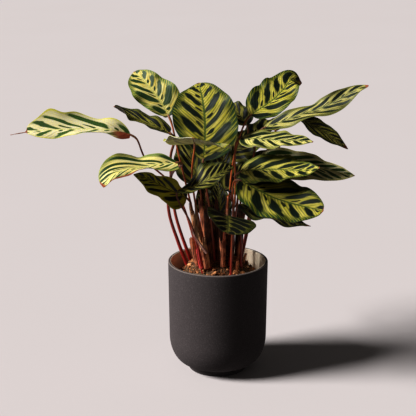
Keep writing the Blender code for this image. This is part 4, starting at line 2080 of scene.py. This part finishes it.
SMALL_LEAVES = (
    small_leaf(
        "small_upper",
        ((12, 14, 284), (22, 16, 292), (34, 19, 301), (50, 22, 313)),
        (0.0, -0.9, 0.4),
        (20, 22),
        (10, 18),
        0.25,
    ),
    small_leaf(
        "small_right",
        ((10, 2, 242), (20, 2, 254), (32, 2, 266), (46, 2, 278)),
        (0.0, -0.9, 0.4),
        (18, 20),
        (8, 2),
    ),
    small_leaf(
        "small_left",
        ((-10, 18, 232), (-11, 20, 250), (-11, 22, 268), (-10, 25, 290)),
        (0.0, -1.0, 0.2),
        (16, 15),
        (-6, 16),
    ),
    small_leaf(
        "small_middle",
        ((-15, 8, 206), (-16, 9, 220), (-18, 10, 234), (-21, 12, 250)),
        (0.0, -1.0, 0.2),
        (13, 13),
        (-10, 10),
    ),
    small_leaf(
        "small_far",
        ((34, 12, 262), (46, 14, 270), (58, 16, 279), (70, 18, 290)),
        (0.0, -0.9, 0.5),
        (17, 18),
        (24, 6),
        0.25,
    ),
)


@dataclass
class Foliage:
    """All the leaves."""

    mix: BarkMix
    marks: Markings = Markings()

    def build(self) -> None:
        """Builds every blade and stalk."""
        finishes = {
            tone: [finish.upper(self.marks), finish.under(self.marks)]
            for tone, finish in LEAF_FINISHES.items()
        }
        skin = StalkFinish().material()
        for leaf in (*LEAVES, *SMALL_LEAVES):
            leaf.build_blade(finishes)
            leaf.build_stalk(self.mix, skin)


# Old stalks, sheaths and shreds


class Dried(Enum):
    """The colours of dried growth. DARK is darker brown, partly its own and partly painted shade."""

    TAN = "husk_tan"
    BROWN = "husk_brown"
    DARK = "husk_dark"
    ROSE = "husk_rose"
    PAPER = "husk_paper"


DRIED_FINISHES = {
    Dried.TAN: HuskFinish("husk_tan", (255, 208, 158), (226, 158, 108), (112, 62, 42)),
    Dried.BROWN: HuskFinish("husk_brown", (226, 142, 98), (164, 92, 62), (60, 30, 20)),
    # A darker copy of the brown husk for the clump's deep middle: partly dark dried growth, partly
    # painted shade.
    Dried.DARK: HuskFinish("husk_dark", (146, 88, 58), (72, 38, 26), (18, 10, 7)),
    Dried.ROSE: HuskFinish("husk_rose", (236, 92, 84), (190, 48, 46), (96, 26, 22)),
    Dried.PAPER: HuskFinish("husk_paper", (250, 214, 196), (222, 160, 142), (150, 84, 70)),
}

DRIED_SLOTS = {
    Dried.TAN: "stem_tan",
    Dried.BROWN: "stem_brown",
    Dried.DARK: "stem_brown",
    Dried.ROSE: "stem_red",
    Dried.PAPER: "stem_tan",
}


@dataclass(frozen=True)
class Husk:
    """An old stalk, cut short or dried.

    points run from the bark mix up, in millimetres. ragged is how far its skin swings in and out,
    and fibre_scales are how fine it does so across and along the stalk.
    """

    name: str
    points: Points
    radii: tuple
    look: Dried
    buried: float = 11.0
    steps: int = 40
    ragged: float = 0.35
    fibre_scales: Pair = (0.9, 0.12)

    def build(self, material: bpy.types.Material) -> None:
        """Draws the husk with a fibrous, uneven skin.

        Args:
            material: Its material.
        """
        first, second = Vector(self.points[0]), Vector(self.points[1])
        foot = first - (second - first).normalized() * self.buried
        path = smooth_path([foot, *self.points], self.steps)
        given = (self.radii[0], *self.radii)
        radii = [value_along(given, i / (self.steps - 1)) for i in range(self.steps)]
        across, along = self.fibre_scales
        made = tube(path, radii)
        for vertex in made.data.vertices:
            place = vertex.co / MM
            rough = noise.noise(Vector((place.x * across, place.y * across, place.z * along)))
            vertex.co += vertex.normal * (rough * self.ragged * MM)
        soften(made)
        settle(made, "husk_" + self.name, [material], DRIED_SLOTS[self.look], self.name)


HUSKS = (
    Husk("stub_right", ((24, -26, 148), (25, -27, 156)), (2.2, 2.0), Dried.BROWN),
    Husk("stub_far_right", ((33, -4, 146), (36, -4, 158)), (1.9, 1.6), Dried.BROWN),
    Husk(
        "dry_stem_left",
        ((-21, -22, 150), (-27, -22, 182), (-33, -21, 214), (-36, -20, 232)),
        (2.4, 2.6, 2.0, 1.0),
        Dried.TAN,
    ),
    Husk(
        "dry_stem_centre",
        ((-10, -10, 152), (-14, -8, 176), (-16, -6, 200)),
        (2.2, 2.0, 0.9),
        Dried.TAN,
    ),
)


@dataclass(frozen=True)
class Sheath:
    """A dried leaf sheath: a ragged strip that clasps the clump and opens as it rises.

    points run up its middle, in millimetres. radii are its radii at its foot and its end. wrap is
    the share of a full turn that it covers, and facing is the way that its back looks, in degrees
    from +X. tatter is the share of its length that the longest tears in its end reach down, and
    middling the share of those that a middling tear reaches. tears is how fine the wide and the
    narrow ones are. ripple is how far its wall swings in and out, in millimetres, flare how late it
    opens, and folds how many pleats a full turn would have.
    """

    name: str
    points: Points
    radii: Pair
    look: Dried = Dried.TAN
    wrap: float = 0.6
    facing: float = -90.0
    tatter: float = 0.3
    ripple: float = 0.35
    tears: Pair = (2.2, 7.0)
    middling: float = 0.45
    flare: float = 1.3
    folds: float = 9.0
    rows: int = 36
    columns: int = 22
    thickness: float = 0.35

    def build(self, material: bpy.types.Material) -> None:
        """Rolls a grid into the sheath and tears its end.

        Args:
            material: Its material.
        """
        path = smooth_path(self.points, self.rows + 1)
        tangents = tangents_of(path)
        length = path_length(path)
        turn = math.radians(self.facing)
        outward = Vector((math.cos(turn), math.sin(turn), 0.0))
        own = random.Random(self.name).uniform(0.0, 50.0)
        made = new_grid(self.columns, self.rows)
        for vertex in made.data.vertices:
            across = vertex.co.x
            along = (vertex.co.y + 1.0) / 2.0
            torn = noise.noise(Vector((across * self.tears[0], own, 0.0)))
            torn += 0.5 * noise.noise(Vector((across * self.tears[1], own, 3.0)))
            along *= 1.0 - self.tatter * clamp(self.middling + torn)
            place = along * self.rows
            row = min(int(place), self.rows - 1)
            centre = path[row].lerp(path[row + 1], place - row)
            tangent = tangents[row]
            back = (outward - tangent * outward.dot(tangent)).normalized()
            side = tangent.cross(back)
            angle = across * self.wrap * math.pi
            radius = self.radii[0] + (self.radii[1] - self.radii[0]) * along**self.flare
            rough = noise.noise(Vector((across * 3.0, along * length * 0.06, own)))
            radius += self.ripple * (2.0 * rough + 0.5 * math.cos(angle * self.folds))
            vertex.co = (centre + (back * math.cos(angle) + side * math.sin(angle)) * radius) * MM
        thicken(made, self.thickness)
        soften(made)
        settle(made, "sheath_" + self.name, [material], DRIED_SLOTS[self.look])


SHEATHS = (
    Sheath(
        "tall_left",
        ((-18, -27, 148), (-23, -27, 176), (-29, -26, 206), (-33, -25, 236)),
        (4.2, 4.6),
    ),
    Sheath("mid_left", ((-14, -30, 148), (-19, -29, 176), (-23, -28, 204)), (4.0, 4.4), tatter=0.4),
    Sheath("brown_left", ((-26, -20, 147), (-31, -19, 168), (-34, -18, 186)), (3.0, 3.6), Dried.BROWN),
    Sheath("rose", ((-21, -31, 148), (-24, -32, 162), (-27, -33, 180)), (2.9, 2.2), Dried.ROSE, 0.5),
    Sheath(
        "rose_low",
        ((-15, -33, 148), (-17, -34, 160), (-20, -35, 174)),
        (2.6, 2.2),
        Dried.BROWN,
        wrap=0.5,
    ),
    # The dark sheaths fill the clump's deep middle; their darkness is partly painted shade.
    Sheath("dark_left", ((-10, -20, 148), (-12, -18, 186), (-13, -16, 232)), (5.0, 5.4), Dried.DARK),
    Sheath("dark_middle", ((-3, -12, 149), (-4, -10, 188), (-5, -6, 238)), (5.4, 6.0), Dried.DARK),
    Sheath("dark_right", ((3, -22, 149), (3, -20, 182), (4, -17, 214)), (3.4, 4.0), Dried.DARK),
    Sheath("dark_gap", ((-14, -12, 149), (-17, -9, 190), (-21, -6, 240)), (4.4, 5.0), Dried.BROWN),
    Sheath("dark_back", ((10, 2, 149), (11, 4, 186), (12, 7, 228)), (5.0, 6.0), Dried.DARK),
    Sheath("dark_far", ((26, 5, 149), (28, 8, 190), (29, 11, 240)), (4.6, 6.6), Dried.DARK),
    Sheath("flared", ((6, -30, 149), (6, -31, 168), (5, -33, 192)), (2.4, 4.4), Dried.BROWN, 0.55),
    Sheath("right", ((17, -14, 148), (18, -13, 180), (19, -11, 214)), (3.0, 3.2), Dried.DARK),
    Sheath("right_low", ((26, -12, 147), (28, -12, 166), (29, -11, 184)), (2.8, 3.4), Dried.BROWN),
    Sheath(
        "shred",
        ((-15, -43, 172), (-22, -44, 181), (-31, -43, 195), (-36, -40, 204)),
        (2.6, 1.4),
        Dried.PAPER,
        wrap=0.3,
        facing=-60.0,
        tatter=0.5,
    ),
)


@dataclass
class OldGrowth:
    """The cut and dried stalks of the clump, and its sheaths."""

    def build(self) -> None:
        """Builds every husk and sheath."""
        skins = {look: finish.material() for look, finish in DRIED_FINISHES.items()}
        for old in (*HUSKS, *SHEATHS):
            old.build(skins[old.look])


# Studio


@dataclass
class Studio:
    """The floor, the lights and the camera.

    floor_size and camera_place are in metres, camera_lens and sensor in millimetres, and angles in
    degrees. key_way points from the plant to the light, and key_spread is how wide the light looks.
    """

    floor_size: float = 40.0
    camera_place: Triple = (-0.013, -1.350, 0.602)
    camera_pitch: float = 15.86
    camera_lens: float = 94.33
    sensor: float = 36.0
    key_way: Triple = (-0.81, -0.18, 0.56)
    key_spread: float = 22.0
    key_power: float = 5.9
    sky: Triple = (244, 240, 238)
    fill_light: float = 0.07
    contrast: float = 0.8

    def build_floor(self) -> None:
        """Lays the pale floor. It throws no light back, so the pot's far side stays deep."""
        deselect()
        bpy.ops.mesh.primitive_plane_add(size=self.floor_size, location=(0.0, 0.0, 0.0))
        floor = bpy.context.object
        floor.name = "studio_floor"
        floor.data.materials.append(FloorFinish().material())
        floor.visible_diffuse = False

    def build_lights(self) -> None:
        """Hangs a broad soft light far off at the left and fills the shade with a dim sky."""
        deselect()
        turn = (-Vector(self.key_way)).to_track_quat("-Z", "Y").to_euler()
        bpy.ops.object.light_add(type="SUN", location=self.key_way, rotation=turn)
        key = bpy.context.object
        key.data.angle = math.radians(self.key_spread)
        key.data.energy = self.key_power
        world = bpy.data.worlds.new("studio_sky")
        world.use_nodes = True
        background = world.node_tree.nodes["Background"]
        background.inputs["Color"].default_value = linear(self.sky)
        background.inputs["Strength"].default_value = self.fill_light
        bpy.context.scene.world = world

    def build_camera(self) -> None:
        """Stands the camera where the portrait was taken from."""
        deselect()
        turn = (math.radians(90.0 - self.camera_pitch), 0.0, 0.0)
        bpy.ops.object.camera_add(location=self.camera_place, rotation=turn)
        camera = bpy.context.object
        camera.data.sensor_width = self.sensor
        camera.data.lens = self.camera_lens
        bpy.context.scene.camera = camera

    def build(self) -> None:
        """Sets up the studio."""
        self.build_floor()
        self.build_lights()
        self.build_camera()
        view = bpy.context.scene.view_settings
        view.view_transform = "Standard"
        view.gamma = self.contrast


def main() -> None:
    """Builds the plant and the studio round it."""
    logging.basicConfig(level=logging.INFO, format="%(message)s")
    pot = Pot()
    mix = BarkMix(pot)
    pot.build()
    mix.build()
    Foliage(mix).build()
    OldGrowth().build()
    Studio().build()


if __name__ == "__main__":
    main()
